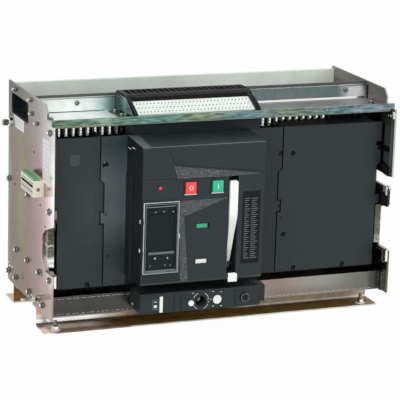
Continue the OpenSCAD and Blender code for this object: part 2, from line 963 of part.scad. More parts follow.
module contact_clusters() {
  jaw_t = 8;
  jaw_gap = 0.5;
  jaw_w = terminal_w - 40;
  color([0.72, 0.45, 0.30]) in_place() each_terminal() {
    for (s = sides) {
      low = s * (terminal_t / 2 + jaw_gap + jaw_t / 2) - jaw_t / 2;
      box([-jaw_w / 2, body_back, low], [jaw_w / 2, wall_back - 8, low + jaw_t]);
    }
    box([-jaw_w / 2, body_back, -terminal_t / 2 - 1], [jaw_w / 2, body_back + 8, terminal_t / 2 + 1]);
  }
}

roller_d = runner_h - 6;
roller_backs = [175, 245];

module carriage_rollers() {
  roller_gap = 0.3;
  z = runner_z + 2 + roller_gap + roller_d / 2;
  tip = inner_w - 13 + 8;
  color("silver") in_place() for (side = sides, y = roller_backs) on_side(side)
    translate([0, y, z]) {
      translate([tip - 8, 0, 0]) rod_x(roller_d, 8);
      translate([body_half, 0, 0]) rod_x(10, tip - 7 - body_half);
    }
}

left_side_plate();
right_side_plate();
bottom_pan();
front_crossbar();
front_base_rail();
rear_base_rail();
top_channel();
arc_barrier();
rear_wall();
main_terminals();
auxiliary_terminal_housing();
auxiliary_terminal_strip();
auxiliary_terminal_brackets();
side_guides();
fixed_rails();
rail_brackets();
handle_cup();
racking_housing();
side_terminal_block();
side_terminal_marker();
side_studs();
left_slide_rail();
right_slide_rail();
racking_screw();
release_button();
position_disc();
key_barrel();
padlock_tab();
pole_housing();
arc_chutes();
arc_chute_ribs();
left_outer_panel();
left_inner_panel();
right_inner_panel();
right_outer_panel();
disconnect_housing();
front_cover();
trip_unit();
indicator_plates();
contact_clusters();
carriage_rollers();
off_button();
on_button();
charging_lever();
trip_window();
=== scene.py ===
"""Looks of a withdrawable air circuit breaker in its cradle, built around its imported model.

Metres, +Z up, floor at z = 0. The operator stands at -Y.
Details are placed in millimetres as (x, back, height), where back is measured
from the front edge of the side plates.
"""
import math

import bmesh
import bpy
from bpy.props import FloatProperty, FloatVectorProperty, PointerProperty
from bpy.types import Operator, Panel, PropertyGroup
from mathutils import Matrix, Vector

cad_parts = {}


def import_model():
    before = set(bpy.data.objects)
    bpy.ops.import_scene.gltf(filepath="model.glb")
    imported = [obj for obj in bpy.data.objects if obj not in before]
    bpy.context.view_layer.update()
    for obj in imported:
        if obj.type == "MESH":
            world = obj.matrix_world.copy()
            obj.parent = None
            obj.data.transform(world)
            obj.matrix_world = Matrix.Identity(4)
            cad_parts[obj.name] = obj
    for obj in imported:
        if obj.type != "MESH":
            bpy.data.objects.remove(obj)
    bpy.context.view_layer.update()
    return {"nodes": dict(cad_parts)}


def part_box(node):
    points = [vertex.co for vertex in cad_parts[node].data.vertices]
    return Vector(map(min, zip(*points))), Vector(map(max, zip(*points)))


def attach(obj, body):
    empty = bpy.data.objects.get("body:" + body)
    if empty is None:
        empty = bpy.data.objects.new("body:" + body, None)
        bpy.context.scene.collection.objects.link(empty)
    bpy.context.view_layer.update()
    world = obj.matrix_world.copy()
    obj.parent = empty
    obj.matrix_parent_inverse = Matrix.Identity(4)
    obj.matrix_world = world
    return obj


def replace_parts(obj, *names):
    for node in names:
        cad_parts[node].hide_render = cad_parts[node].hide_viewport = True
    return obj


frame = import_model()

bl_info = {
    "name": "Withdrawable Breaker Looks",
    "version": (1, 0, 0),
    "blender": (4, 5, 0),
    "location": "3D View > Sidebar > Breaker",
    "description": "Builds the fittings, finishes and studio of a withdrawable circuit breaker",
    "category": "Object",
}

MM = 0.001
PLATE_LOW, PLATE_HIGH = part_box("left_side_plate")
PLATE_FRONT = PLATE_LOW.y
HALF_WIDTH = -PLATE_LOW.x / MM
INNER = -PLATE_HIGH.x / MM
FULL_TURN = 2 * math.pi
SIDES = (("left", -1), ("right", 1))
OUT, IN_FRONT, UP = Vector((1, 0, 0)), Vector((0, -1, 0)), Vector((0, 0, 1))
BEHIND = -IN_FRONT


# Faces that meet at less than this many degrees are shaded as one
SMOOTH_BELOW = 38
# Points of a turned shape closer than this, in millimetres, become one
MERGE_BELOW = 1e-4


def reach(node):
    """A node's lowest and highest (x, back, height), in millimetres."""
    low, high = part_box(node)
    shift = Vector((0, PLATE_FRONT, 0))
    return (low - shift) / MM, (high - shift) / MM


# The fronts of the control unit and of the outer covers
FACE = reach("front_cover")[0].y
PANEL = reach("right_outer_panel")[0].y


def placed(name, data):
    """A new object in the scene."""
    thing = bpy.data.objects.new(name, data)
    bpy.context.scene.collection.objects.link(thing)
    return thing


# ---------------------------------------------------------------- shapes


class Shape:
    """Closed solids gathered in one mesh, drawn in millimetres as (x, back, height)."""

    def __init__(self, finish):
        self.bm = bmesh.new()
        self.finishes = []
        self.use(finish)

    def use(self, finish):
        """The finish of the solids that follow."""
        if finish not in self.finishes:
            self.finishes.append(finish)
        self.finish_index = self.finishes.index(finish)
        return self

    def _keep(self, made):
        """Adds a finished solid to the piece."""
        bmesh.ops.recalc_face_normals(made, faces=made.faces)
        for face in made.faces:
            face.material_index = self.finish_index
        mesh = bpy.data.meshes.new("part")
        made.to_mesh(mesh)
        made.free()
        self.bm.from_mesh(mesh)
        bpy.data.meshes.remove(mesh)

    def prism(self, outline, along, soft=0.0, steps=2):
        """Sweeps a closed outline along a vector; soft rounds its edges."""
        made = bmesh.new()
        near = [made.verts.new(Vector(point)) for point in outline]
        far = [made.verts.new(Vector(point) + Vector(along)) for point in outline]
        made.faces.new(near)
        made.faces.new(list(reversed(far)))
        for i in range(len(near)):
            j = (i + 1) % len(near)
            made.faces.new((near[j], near[i], far[i], far[j]))
        if soft:
            bmesh.ops.recalc_face_normals(made, faces=made.faces)
            bmesh.ops.bevel(
                made, geom=list(made.edges), offset=soft, segments=steps,
                profile=0.6, affect="EDGES", clamp_overlap=True,
            )
        self._keep(made)

    def block(self, low, high, soft=0.0, steps=2):
        """A box between two corners."""
        (x0, y0, z0), (x1, y1, z1) = low, high
        outline = [(x0, y0, z0), (x1, y0, z0), (x1, y0, z1), (x0, y0, z1)]
        self.prism(outline, (0, y1 - y0, 0), soft, steps)

    def tiles(self, front, back, soft, tiles, steps=1):
        """Boxes that face the operator, each as (x0, z0, x1, z1)."""
        for x0, z0, x1, z1 in tiles:
            self.block((x0, front, z0), (x1, back, z1), soft, steps)

    def plaque(self, outline, front, depth, soft):
        """A flat (x, height) outline that faces the operator."""
        self.prism([(x, front, z) for x, z in outline], (0, depth, 0), soft, 1)

    def frame_ring(self, low, high, front, depth, width, soft=0.3):
        """A rectangular frame that faces the operator, between two (x, height) corners."""
        (x0, z0), (x1, z1) = low, high
        self.tiles(front, front + depth, soft, [
            (x0, z0, x1, z0 + width), (x0, z1 - width, x1, z1),
            (x0, z0 + width, x0 + width, z1 - width), (x1 - width, z0 + width, x1, z1 - width),
        ])

    def turned(self, at, axis, profile, sides=24, start=0.0, sweep=FULL_TURN):
        """Turns a closed [radius, along] profile about an axis, all round or part of the way."""
        made = bmesh.new()
        turn = Vector((0, 0, 1)).rotation_difference(Vector(axis).normalized()).to_matrix()
        full = sweep == FULL_TURN
        count = sides if full else max(3, int(sides * sweep / FULL_TURN))
        rings = []
        for i in range(count if full else count + 1):
            a = start + sweep * i / count
            rings.append([
                made.verts.new(turn @ Vector((r * math.cos(a), r * math.sin(a), h)) + Vector(at))
                for r, h in profile
            ])
        for i in range(count):
            one, two = rings[i], rings[(i + 1) % len(rings)]
            for k in range(len(profile)):
                j = (k + 1) % len(profile)
                made.faces.new((one[k], one[j], two[j], two[k]))
        if not full:
            made.faces.new(rings[0])
            made.faces.new(list(reversed(rings[-1])))
        bmesh.ops.remove_doubles(made, verts=made.verts, dist=MERGE_BELOW)
        self._keep(made)

    def rod(self, at, axis, radius, length, soft=0.4, sides=24):
        """A round bar with softened ends."""
        self.turned(at, axis, [
            (0, 0), (radius - soft, 0), (radius, soft),
            (radius, length - soft), (radius - soft, length), (0, length),
        ], sides)

    def ring(self, at, axis, outer, inner, height, soft=0.3, sides=24, start=0.0, sweep=FULL_TURN):
        """A flat ring or arc, such as a washer or a mark."""
        self.turned(at, axis, [
            (inner, 0), (outer, 0), (outer, height - soft), (outer - soft, height),
            (inner + soft, height), (inner, height - soft),
        ], sides, start, sweep)

    def hexagon(self, at, axis, across_flats, height):
        """A hexagon head or nut with turned-down corners."""
        corner = across_flats / math.sqrt(3)
        chamfer = 0.13 * corner
        self.turned(at, axis, [
            (0, 0), (corner, 0), (corner, height - chamfer * 0.55), (corner - chamfer, height), (0, height),
        ], 6)

    def bolt(self, at, axis, across_flats, washer):
        """Hexagon bolt head on a washer, with painted shade rings round the washer and under the head, and a
        polished dome whose brightness is partly a painted highlight.
        """
        axis, at = Vector(axis).normalized(), Vector(at)
        head = across_flats * 0.42
        # painted shade: a dark ring round the washer's foot
        self.use("painted_shade").ring(at, axis, washer + 0.9, washer - 1.5, 0.3, 0.1)
        self.use("bolt").ring(at, axis, washer, across_flats * 0.3, 1.5)
        # painted shade: a dark ring under the head
        self.use("painted_shade").ring(at + axis * 1.3, axis, across_flats * 0.63, across_flats * 0.4, 0.5, 0.1)
        self.use("bolt").hexagon(at + axis * 1.5, axis, across_flats, head)
        # bright polished dome, its brightness partly a painted highlight
        self.use("shine").turned(at + axis * (1.2 + head), axis, [
            (0, 0), (across_flats * 0.33, 0), (across_flats * 0.28, 1.0), (0, 1.6),
        ])
        self.use("bolt")

    def thread(self, at, axis, radius, length, pitch=1.25):
        """Threaded rod drawn as shallow rings."""
        profile = [(0, 0), (radius * 0.86, 0)]
        along = 0.4
        while along < length - pitch:
            profile += [(radius, along), (radius * 0.86, along + pitch / 2)]
            along += pitch
        profile += [(radius, along), (radius * 0.8, length), (0, length)]
        self.turned(at, axis, profile, 18)

    def pan_screw(self, at, axis, radius, height):
        """Pan head screw with a dished recess, in a painted shade ring."""
        finish = self.finishes[self.finish_index]
        # painted shade: a dark ring round the screw's foot
        self.use("painted_shade").ring(at, axis, radius + 0.8, radius - 1.0, 0.25, 0.1)
        self.use(finish).turned(at, axis, [
            (0, 0), (radius, 0), (radius, height * 0.45), (radius * 0.86, height * 0.8),
            (radius * 0.5, height), (radius * 0.34, height * 0.55), (0, height * 0.5),
        ], 18)

    def made(self, name, body, slot):
        """Turns the gathered solids into one named piece that rides on a body."""
        bm = self.bm
        bmesh.ops.scale(bm, vec=(MM, MM, MM), verts=bm.verts)
        bmesh.ops.translate(bm, vec=(0, PLATE_FRONT, 0), verts=bm.verts)
        limit = math.radians(SMOOTH_BELOW)
        for face in bm.faces:
            face.smooth = True
        for edge in bm.edges:
            edge.smooth = len(edge.link_faces) == 2 and edge.calc_face_angle(0) < limit
        mesh = bpy.data.meshes.new(name)
        bm.to_mesh(mesh)
        bm.free()
        for finish in self.finishes:
            mesh.materials.append(FINISHES[finish])
        piece = placed(name, mesh)
        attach(piece, body)
        return piece


# ---------------------------------------------------------------- shader wiring


def tone(red, green, blue):
    """A display colour, 0 to 255, as the linear colour that a shader takes."""
    return tuple(
        (c / 255 / 12.92) if c / 255 <= 0.04045 else ((c / 255 + 0.055) / 1.055) ** 2.4
        for c in (red, green, blue)
    ) + (1.0,)


def evenly(*tones):
    """Ramp stops at even steps."""
    return [(i / (len(tones) - 1), *colour) for i, colour in enumerate(tones)]


class Wiring:
    """Adds and joins the nodes of one material or node group."""

    def __init__(self, tree):
        self.tree = tree

    def add(self, kind, values=None, **options):
        node = self.tree.nodes.new(kind)
        for name, value in options.items():
            setattr(node, name, value)
        for socket, value in (values or {}).items():
            if isinstance(value, bpy.types.NodeSocket):
                self.tree.links.new(value, node.inputs[socket])
            else:
                node.inputs[socket].default_value = value
        return node

    def join(self, sockets, sources):
        """Links each named source to its socket."""
        for name, source in sources.items():
            self.tree.links.new(source, sockets[name])

    def place(self):
        return self.add("ShaderNodeTexCoord").outputs["Object"]

    def mix(self, factor, first, second):
        """Mixes two colours."""
        return self.add("ShaderNodeMix", {0: factor, 6: first, 7: second}, data_type="RGBA").outputs[2]

    def math(self, operation, first, second=0.0, clamp=False):
        """One step of arithmetic."""
        return self.add(
            "ShaderNodeMath", {0: first, 1: second}, operation=operation, use_clamp=clamp
        ).outputs[0]

    def vector(self, operation, first, second):
        """One step of vector arithmetic."""
        second_input = "Scale" if operation == "SCALE" else 1
        result = "Value" if operation == "DOT_PRODUCT" else 0
        return self.add(
            "ShaderNodeVectorMath", {0: first, second_input: second}, operation=operation
        ).outputs[result]

    def fit(self, value, low, high, new_low=0.0, new_high=1.0):
        """Rescales a value between limits."""
        return self.add("ShaderNodeMapRange", {
            "Value": value, "From Min": low, "From Max": high, "To Min": new_low, "To Max": new_high,
        }).outputs[0]

    def noise(self, vector, scale, detail=3.0, roughness=0.5):
        return self.add("ShaderNodeTexNoise", {
            "Vector": vector, "Scale": scale, "Detail": detail, "Roughness": roughness,
        }).outputs["Fac"]

    def bump(self, strength, distance, height, **normal):
        values = {"Strength": strength, "Distance": distance, "Height": height, **normal}
        return self.add("ShaderNodeBump", values).outputs[0]

    def ramp(self, factor, stops):
        """A colour ramp through (position, red, green, blue) stops in display colours."""
        node = self.add("ShaderNodeValToRGB", {0: factor})
        spots = node.color_ramp.elements
        for position, *colour in stops[1:-1]:
            spots.new(position).color = tone(*colour)
        for index, (position, *colour) in ((0, stops[0]), (len(stops) - 1, stops[-1])):
            spots[index].position = position
            spots[index].color = tone(*colour)
        return node.outputs[0]

    def group(self, name, values):
        return self.add("ShaderNodeGroup", values, node_tree=bpy.data.node_groups[name]).outputs

    def within(self, slabs):
        """A mask of the place where every (direction, low, high, soft) slab overlaps."""
        whole = None
        for way, low, high, soft in slabs:
            mask = self.group("slab", {"Direction": way, "Low": low, "High": high, "Soft": soft})["Mask"]
            whole = mask if whole is None else self.math("MULTIPLY", whole, mask)
        return whole


SOCKETS = {"f": "NodeSocketFloat", "v": "NodeSocketVector"}


def new_group(name, inputs, outputs):
    """An empty shader node group with named sockets, and the wiring to fill it."""
    tree = bpy.data.node_groups.new(name, "ShaderNodeTree")
    for socket, kind, value in inputs:
        made = tree.interface.new_socket(name=socket, in_out="INPUT", socket_type=SOCKETS[kind])
        made.default_value = value
    for socket, kind in outputs:
        tree.interface.new_socket(name=socket, in_out="OUTPUT", socket_type=SOCKETS[kind])
    wires = Wiring(tree)
    return wires, wires.add("NodeGroupInput").outputs, wires.add("NodeGroupOutput").inputs


def build_edge_group():
    """Rounded normals and a mask of worn outer edges."""
    wires, given, wanted = new_group(
        "worn_edges", [("Radius", "f", 0.0015), ("Patchiness", "f", 60.0)], [("Normal", "v"), ("Wear", "f")])
    rounded = wires.add("ShaderNodeBevel", {"Radius": given["Radius"]}, samples=4).outputs[0]
    flat = wires.add("ShaderNodeNewGeometry").outputs["Normal"]
    bend = wires.math("SUBTRACT", 1.0, wires.vector("DOT_PRODUCT", rounded, flat))
    patch = wires.fit(wires.noise(wires.place(), given["Patchiness"]), 0.35, 0.62, 0.25, 1.0)
    worn = wires.math("MULTIPLY", wires.math("MULTIPLY", bend, 7.0, clamp=True), patch, clamp=True)
    wires.join(wanted, {"Normal": rounded, "Wear": worn})


def build_grain_group():
    """Fine moulded or rolled grain as a height and a soft mottle."""
    wires, given, wanted = new_group(
        "fine_grain", [("Scale", "f", 900.0), ("Stretch", "v", (1.0, 1.0, 1.0))],
        [("Height", "f"), ("Mottle", "f")])
    pulled = wires.vector("MULTIPLY", wires.place(), given["Stretch"])
    broad = wires.noise(pulled, wires.math("MULTIPLY", given["Scale"], 0.03), 4.0, 0.55)
    wires.join(wanted, {"Height": wires.noise(pulled, given["Scale"], 2.0, 0.6), "Mottle": broad})


def build_film_group():
    """Where a point lies along a passivated sheet, with the film's slow wander, bands and clouds."""
    wires, given, wanted = new_group(
        "film_drift",
        [("Direction", "v", (0.0, 1.0, 0.0)), ("Start", "f", 0.0), ("Length", "f", 0.34),
         ("Wander", "f", 0.2), ("Scale", "f", 6.0)],
        [("Along", "f"), ("Cloud", "f"), ("Streak", "f")])
    place = wires.place()
    reached = wires.vector("DOT_PRODUCT", place, given["Direction"])
    along = wires.math("DIVIDE", wires.math("SUBTRACT", reached, given["Start"]), given["Length"])
    drift = wires.math("SUBTRACT", wires.noise(place, given["Scale"], 3.0, 0.5), 0.5)
    pulled = wires.vector("MULTIPLY", place, (42.0, 60.0, 420.0))
    wires.join(wanted, {
        "Along": wires.math("ADD", along, wires.math("MULTIPLY", drift, given["Wander"])),
        "Cloud": wires.noise(place, wires.math("MULTIPLY", given["Scale"], 3.1), 4.0, 0.55),
        "Streak": wires.noise(pulled, 1.0, 3.0, 0.6),
    })


def build_dust_group():
    """Pale dust on upward faces."""
    wires, given, wanted = new_group("settled_dust", [("Amount", "f", 0.1)], [("Mask", "f")])
    normal = wires.add("ShaderNodeNewGeometry").outputs["Normal"]
    up = wires.add("ShaderNodeSeparateXYZ", {0: normal}).outputs["Z"]
    patch = wires.fit(wires.noise(wires.place(), 22.0, 4.0, 0.6), 0.3, 0.75, 0.2, 1.0)
    loose = wires.math("MULTIPLY", wires.fit(up, 0.5, 1.0), patch)
    wires.join(wanted, {"Mask": wires.math("MULTIPLY", loose, given["Amount"], clamp=True)})


def build_zone_group():
    """A soft-edged slab of the object: 1 between two places along a direction."""
    wires, given, wanted = new_group(
        "slab", [("Direction", "v", (0.0, 1.0, 0.0)), ("Low", "f", 0.0), ("High", "f", 1.0),
                 ("Soft", "f", 0.002)], [("Mask", "f")])
    reached = wires.vector("DOT_PRODUCT", wires.place(), given["Direction"])
    rise = wires.math("DIVIDE", wires.math("SUBTRACT", reached, given["Low"]), given["Soft"])
    fall = wires.math("DIVIDE", wires.math("SUBTRACT", given["High"], reached), given["Soft"])
    inside = wires.math("MINIMUM", rise, fall)
    wires.join(wanted, {"Mask": wires.math("ADD", inside, 0.5, clamp=True)})


# ---------------------------------------------------------------- finishes

FINISHES = {}
EVEN = (1.0, 1.0, 1.0)
PLASTIC_DUST = (0.55, 0.54, 0.5, 1)
ZINC_DUST = (0.6, 0.58, 0.54, 1)
GRAIN_STEP = 0.0004


def new_finish(key, name, values=None, shown=(0.5, 0.5, 0.5, 1)):
    """A material with one Principled shader and its wiring, kept under its key."""
    finish = bpy.data.materials.new(name)
    finish.use_nodes = True
    finish.node_tree.nodes.clear()
    wires = Wiring(finish.node_tree)
    shader = wires.add("ShaderNodeBsdfPrincipled", values)
    wires.add("ShaderNodeOutputMaterial", {"Surface": shader.outputs[0]})
    finish.diffuse_color = shown
    FINISHES[key] = finish
    return wires, shader.inputs


def aged(wires, sockets, base, edges, fine, worn, wear, dust, dust_colour, rough, depth):
    """Wears the edges of a base colour, lays dust on it and adds the grain."""
    base = wires.mix(wires.math("MULTIPLY", edges["Wear"], wear), base, worn)
    base = wires.mix(wires.group("settled_dust", {"Amount": dust})["Mask"], base, dust_colour)
    bump = wires.bump(depth, GRAIN_STEP, fine["Height"], Normal=edges["Normal"])
    wires.join(sockets, {"Base Color": base, "Roughness": wires.fit(fine["Mottle"], *rough), "Normal": bump})


def plastic(key, name, colour, rough=0.45, radius=0.0015, grain=900.0, depth=0.05, worn=None, dust=0.05,
            values=None, mottle=0.12, wear=0.5, zones=()):
    """Moulded plastic with fine grain, softened edges and settled dust.

    Each zone is (slabs, colour).
    """
    wires, sockets = new_finish(key, name, values, colour)
    edges = wires.group("worn_edges", {"Radius": radius, "Patchiness": 45.0})
    fine = wires.group("fine_grain", {"Scale": grain, "Stretch": EVEN})
    base = colour if zones else colour[:3]
    for slabs, other in zones:
        base = wires.mix(wires.within(slabs), base, other)
    base = wires.vector("SCALE", base, wires.fit(fine["Mottle"], 0.3, 0.7, 1 - mottle, 1 + mottle))
    worn = worn or tuple(min(1.0, c * 1.25 + 0.03) for c in colour[:3]) + (1,)
    aged(wires, sockets, base, edges, fine, worn, wear, dust, PLASTIC_DUST,
         (0.25, 0.75, rough - 0.06, rough + 0.06), depth)


def plated(key, name, stops, direction=(1, 0, 0), start=-0.4, length=0.8, wander=0.15, scale=6.0,
           rough=0.2, radius=0.0008, worn=(0.75, 0.75, 0.72, 1), wear=0.6, stretch=EVEN,
           grain=220.0, depth=0.04, cloud=0.12, streak=0.0, zones=(), dust=0.08):
    """Zinc-plated sheet: a coloured film that drifts along the sheet, with zones of their own tones.

    Each zone is (slabs, share, metallic, stops), and its stops lie along the same way.
    """
    wires, sockets = new_finish(key, name, {"Metallic": 1.0, "Specular IOR Level": 0.0}, tone(*stops[0][1:]))
    edges = wires.group("worn_edges", {"Radius": radius, "Patchiness": 80.0})
    film = wires.group("film_drift", {
        "Direction": direction, "Start": start, "Length": length, "Wander": wander, "Scale": scale,
    })
    fine = wires.group("fine_grain", {"Scale": grain, "Stretch": stretch})
    base = wires.ramp(film["Along"], stops)
    if streak:
        base = wires.vector("SCALE", base, wires.fit(film["Streak"], 0.4, 0.62, 1 - streak, 1 + streak))
    metallic = 1.0
    for slabs, share, metal, tones in zones:
        part = wires.math("MULTIPLY", wires.within(slabs), share)
        base = wires.mix(part, base, wires.ramp(film["Along"], tones))
        metallic = wires.add("ShaderNodeMix", {0: part, 2: metallic, 3: metal}).outputs[0]
    if zones:
        wires.join(sockets, {"Metallic": metallic})
    base = wires.vector("SCALE", base, wires.fit(film["Cloud"], 0.3, 0.7, 1 - cloud, 1 + cloud))
    aged(wires, sockets, base, edges, fine, worn, wear, dust, ZINC_DUST,
         (0.3, 0.7, rough * 0.75, rough * 1.3), depth)


def speckled_inlay(colour):
    """Dark inlay with pale speckles."""
    wires, sockets = new_finish("inlay", "speckled_inlay", shown=colour)
    place = wires.place()
    cells = wires.add("ShaderNodeTexVoronoi", {"Vector": place, "Scale": 420.0}).outputs["Distance"]
    share = wires.fit(wires.noise(place, 90.0, 3.0, 0.6), 0.35, 0.6, 0.5, 1.0)
    fleck = wires.math("MULTIPLY", wires.fit(cells, 0.18, 0.38, 1.0, 0.0), share, clamp=True)
    wires.join(sockets, {
        "Base Color": wires.mix(fleck, colour, (0.27, 0.32, 0.32, 1)),
        "Roughness": wires.fit(fleck, 0.0, 1.0, 0.5, 0.38),
        "Normal": wires.bump(0.3, 0.0003, fleck),
    })


def clear_window():
    """Clear moulding with faint scuffs."""
    wires, sockets = new_finish(
        "glass", "clear_moulding",
        {"Transmission Weight": 1.0, "IOR": 1.06, "Base Color": (0.93, 0.96, 0.96, 1)},
        (0.8, 0.85, 0.85, 0.4))
    fine = wires.group("fine_grain", {"Scale": 500.0, "Stretch": EVEN})
    wires.join(sockets, {"Roughness": wires.fit(fine["Mottle"], 0.4, 0.8, 0.0, 0.02)})


# ---------------------------------------------------------------- zones and finishes

ACROSS, BACKWARD, UPWARD = (1.0, 0.0, 0.0), (0.0, 1.0, 0.0), (0.0, 0.0, 1.0)
FAR = 9.0


def back_at(back):
    """The world's Y at a distance behind the side plates' front edge."""
    return PLATE_FRONT + back * MM


def depths(near, far, soft):
    """The slab between two distances behind the plates' front edge, with a soft edge in metres."""
    return (BACKWARD, back_at(near), back_at(far), soft)


def behind(back, soft=0.0005):
    return (BACKWARD, back_at(back), FAR, soft)


def before(back, soft=0.0005):
    return (BACKWARD, -FAR, back_at(back), soft)


def heights(low, high, soft=0.0005):
    return (UPWARD, low * MM, high * MM, soft)


def above(height, soft=0.0005):
    return (UPWARD, height * MM, FAR, soft)


def below(height, soft=0.0005):
    return (UPWARD, -FAR, height * MM, soft)


def sideways(low, high, soft=0.0004):
    return (ACROSS, low * MM, high * MM, soft)


def plate_finish():
    """Passivated side plates: the film's bands, greener at the top and browner at the foot."""
    left_outside, right_edge = sideways(-401, -395), sideways(395, 401)
    inside = sideways(INNER - 0.8, INNER + 0.8, 0.0002)
    plated(
        "side_plate", "passivated_plate",
        [(0.0, 255, 248, 242), (0.08, 226, 206, 204), (0.18, 192, 158, 162), (0.28, 160, 126, 132),
         (0.42, 136, 104, 98), (0.56, 118, 92, 66), (0.7, 108, 102, 34), (0.8, 102, 78, 46),
         (0.92, 92, 66, 50), (1.0, 118, 132, 112)],
        BACKWARD, PLATE_FRONT, PLATE_HIGH.y - PLATE_LOW.y, wander=0.34, scale=4.5, rough=0.24,
        wear=0.35, worn=(0.62, 0.6, 0.58, 1),
        zones=[
            ([above(418, 0.13)], 0.6, 1.0, evenly((200, 216, 208), (96, 106, 98), (84, 78, 60))),
            ([left_outside, above(436, 0.04), behind(225, 0.1)], 0.95, 1.0,
             evenly((110, 130, 120), (44, 54, 50), (24, 32, 30))),
            ([below(165, 0.12)], 0.5, 1.0, evenly((150, 118, 102), (112, 84, 70), (94, 70, 56))),
            ([left_outside, below(120, 0.03), before(75, 0.03)], 0.8, 1.0,
             evenly((172, 140, 128), (150, 122, 110))),
            ([right_edge, before(1.2), above(240)], 0.9, 0.6, evenly((176, 196, 182), (150, 170, 156))),
            ([right_edge, before(1.2), below(240)], 0.9, 0.6, evenly((90, 92, 74), (104, 104, 84))),
            ([inside, above(462, 0.004)], 1.0, 0.35,
             evenly((100, 101, 100), (120, 122, 116), (150, 153, 142))),
            ([inside, heights(462, 484, 0.004)], 0.8, 0.35,
             evenly((146, 122, 132), (140, 118, 128), (120, 110, 112))),
        ])


def channel_finish():
    """Passivated top channel: green bands on the floor, brown under the lip, and painted reflections that
    make the floor and rear wall near-white on the left and darker to the right, with a painted highlight fan
    near the wall's right end.
    """
    floor, wall = behind(15.4, 0.0008), behind(154, 0.0008)
    plated(
        "channel", "passivated_channel_painted_reflections",
        [(0.0, 100, 134, 110), (0.14, 122, 150, 130), (0.3, 100, 142, 138), (0.42, 128, 142, 116),
         (0.55, 106, 140, 148), (0.68, 122, 134, 114), (0.8, 108, 138, 140), (1.0, 126, 138, 146)],
        wander=0.07, scale=14.0, rough=0.13, cloud=0.1, streak=0.5, wear=0.5, dust=0.02,
        zones=[
            ([below(467.4, 0.002)], 0.7, 1.0, [
                (0.0, 140, 98, 66), (0.14, 150, 102, 68), (0.2, 100, 104, 78), (0.5, 112, 116, 86),
                (1.0, 104, 104, 84)]),
            ([behind(16), below(466)], 1.0, 0.4, evenly((220, 214, 200), (214, 210, 200))),
            # painted reflection: the floor near-white on the left and darker to the right
            ([floor], 1.0, 0.35, [
                (0.0, 250, 252, 252), (0.3, 240, 244, 242), (0.5, 208, 214, 212), (0.62, 160, 166, 164),
                (0.8, 146, 152, 148), (1.0, 158, 160, 158)]),
            ([floor, below(468.5)], 0.5, 0.35, [
                (0.0, 250, 252, 252), (0.2, 244, 248, 246), (0.5, 200, 206, 204), (0.64, 160, 164, 164),
                (0.8, 140, 136, 138), (1.0, 156, 146, 150)]),
            # painted reflection along the rear wall, near-white on the left, with a painted highlight fan
            # near its right end
            ([wall], 1.0, 0.25, [
                (0.0, 206, 226, 214), (0.03, 246, 255, 250), (0.17, 250, 255, 252), (0.205, 206, 236, 232),
                (0.24, 104, 134, 134), (0.26, 96, 124, 124), (0.66, 128, 150, 148), (0.9, 116, 136, 134),
                (0.945, 226, 232, 230), (0.97, 236, 240, 238), (0.99, 150, 164, 164), (1.0, 60, 76, 76)]),
            # painted highlight: the bright fan near the wall's right end
            ([wall, sideways(350, 386, 0.014), heights(466, 493, 0.008)], 1.0, 0.15,
             evenly((255, 255, 255), (250, 252, 252))),
            ([wall, below(480, 0.012), sideways(40, 290)], 0.6, 0.25,
             evenly((130, 140, 140), (138, 140, 142), (136, 126, 132))),
        ])


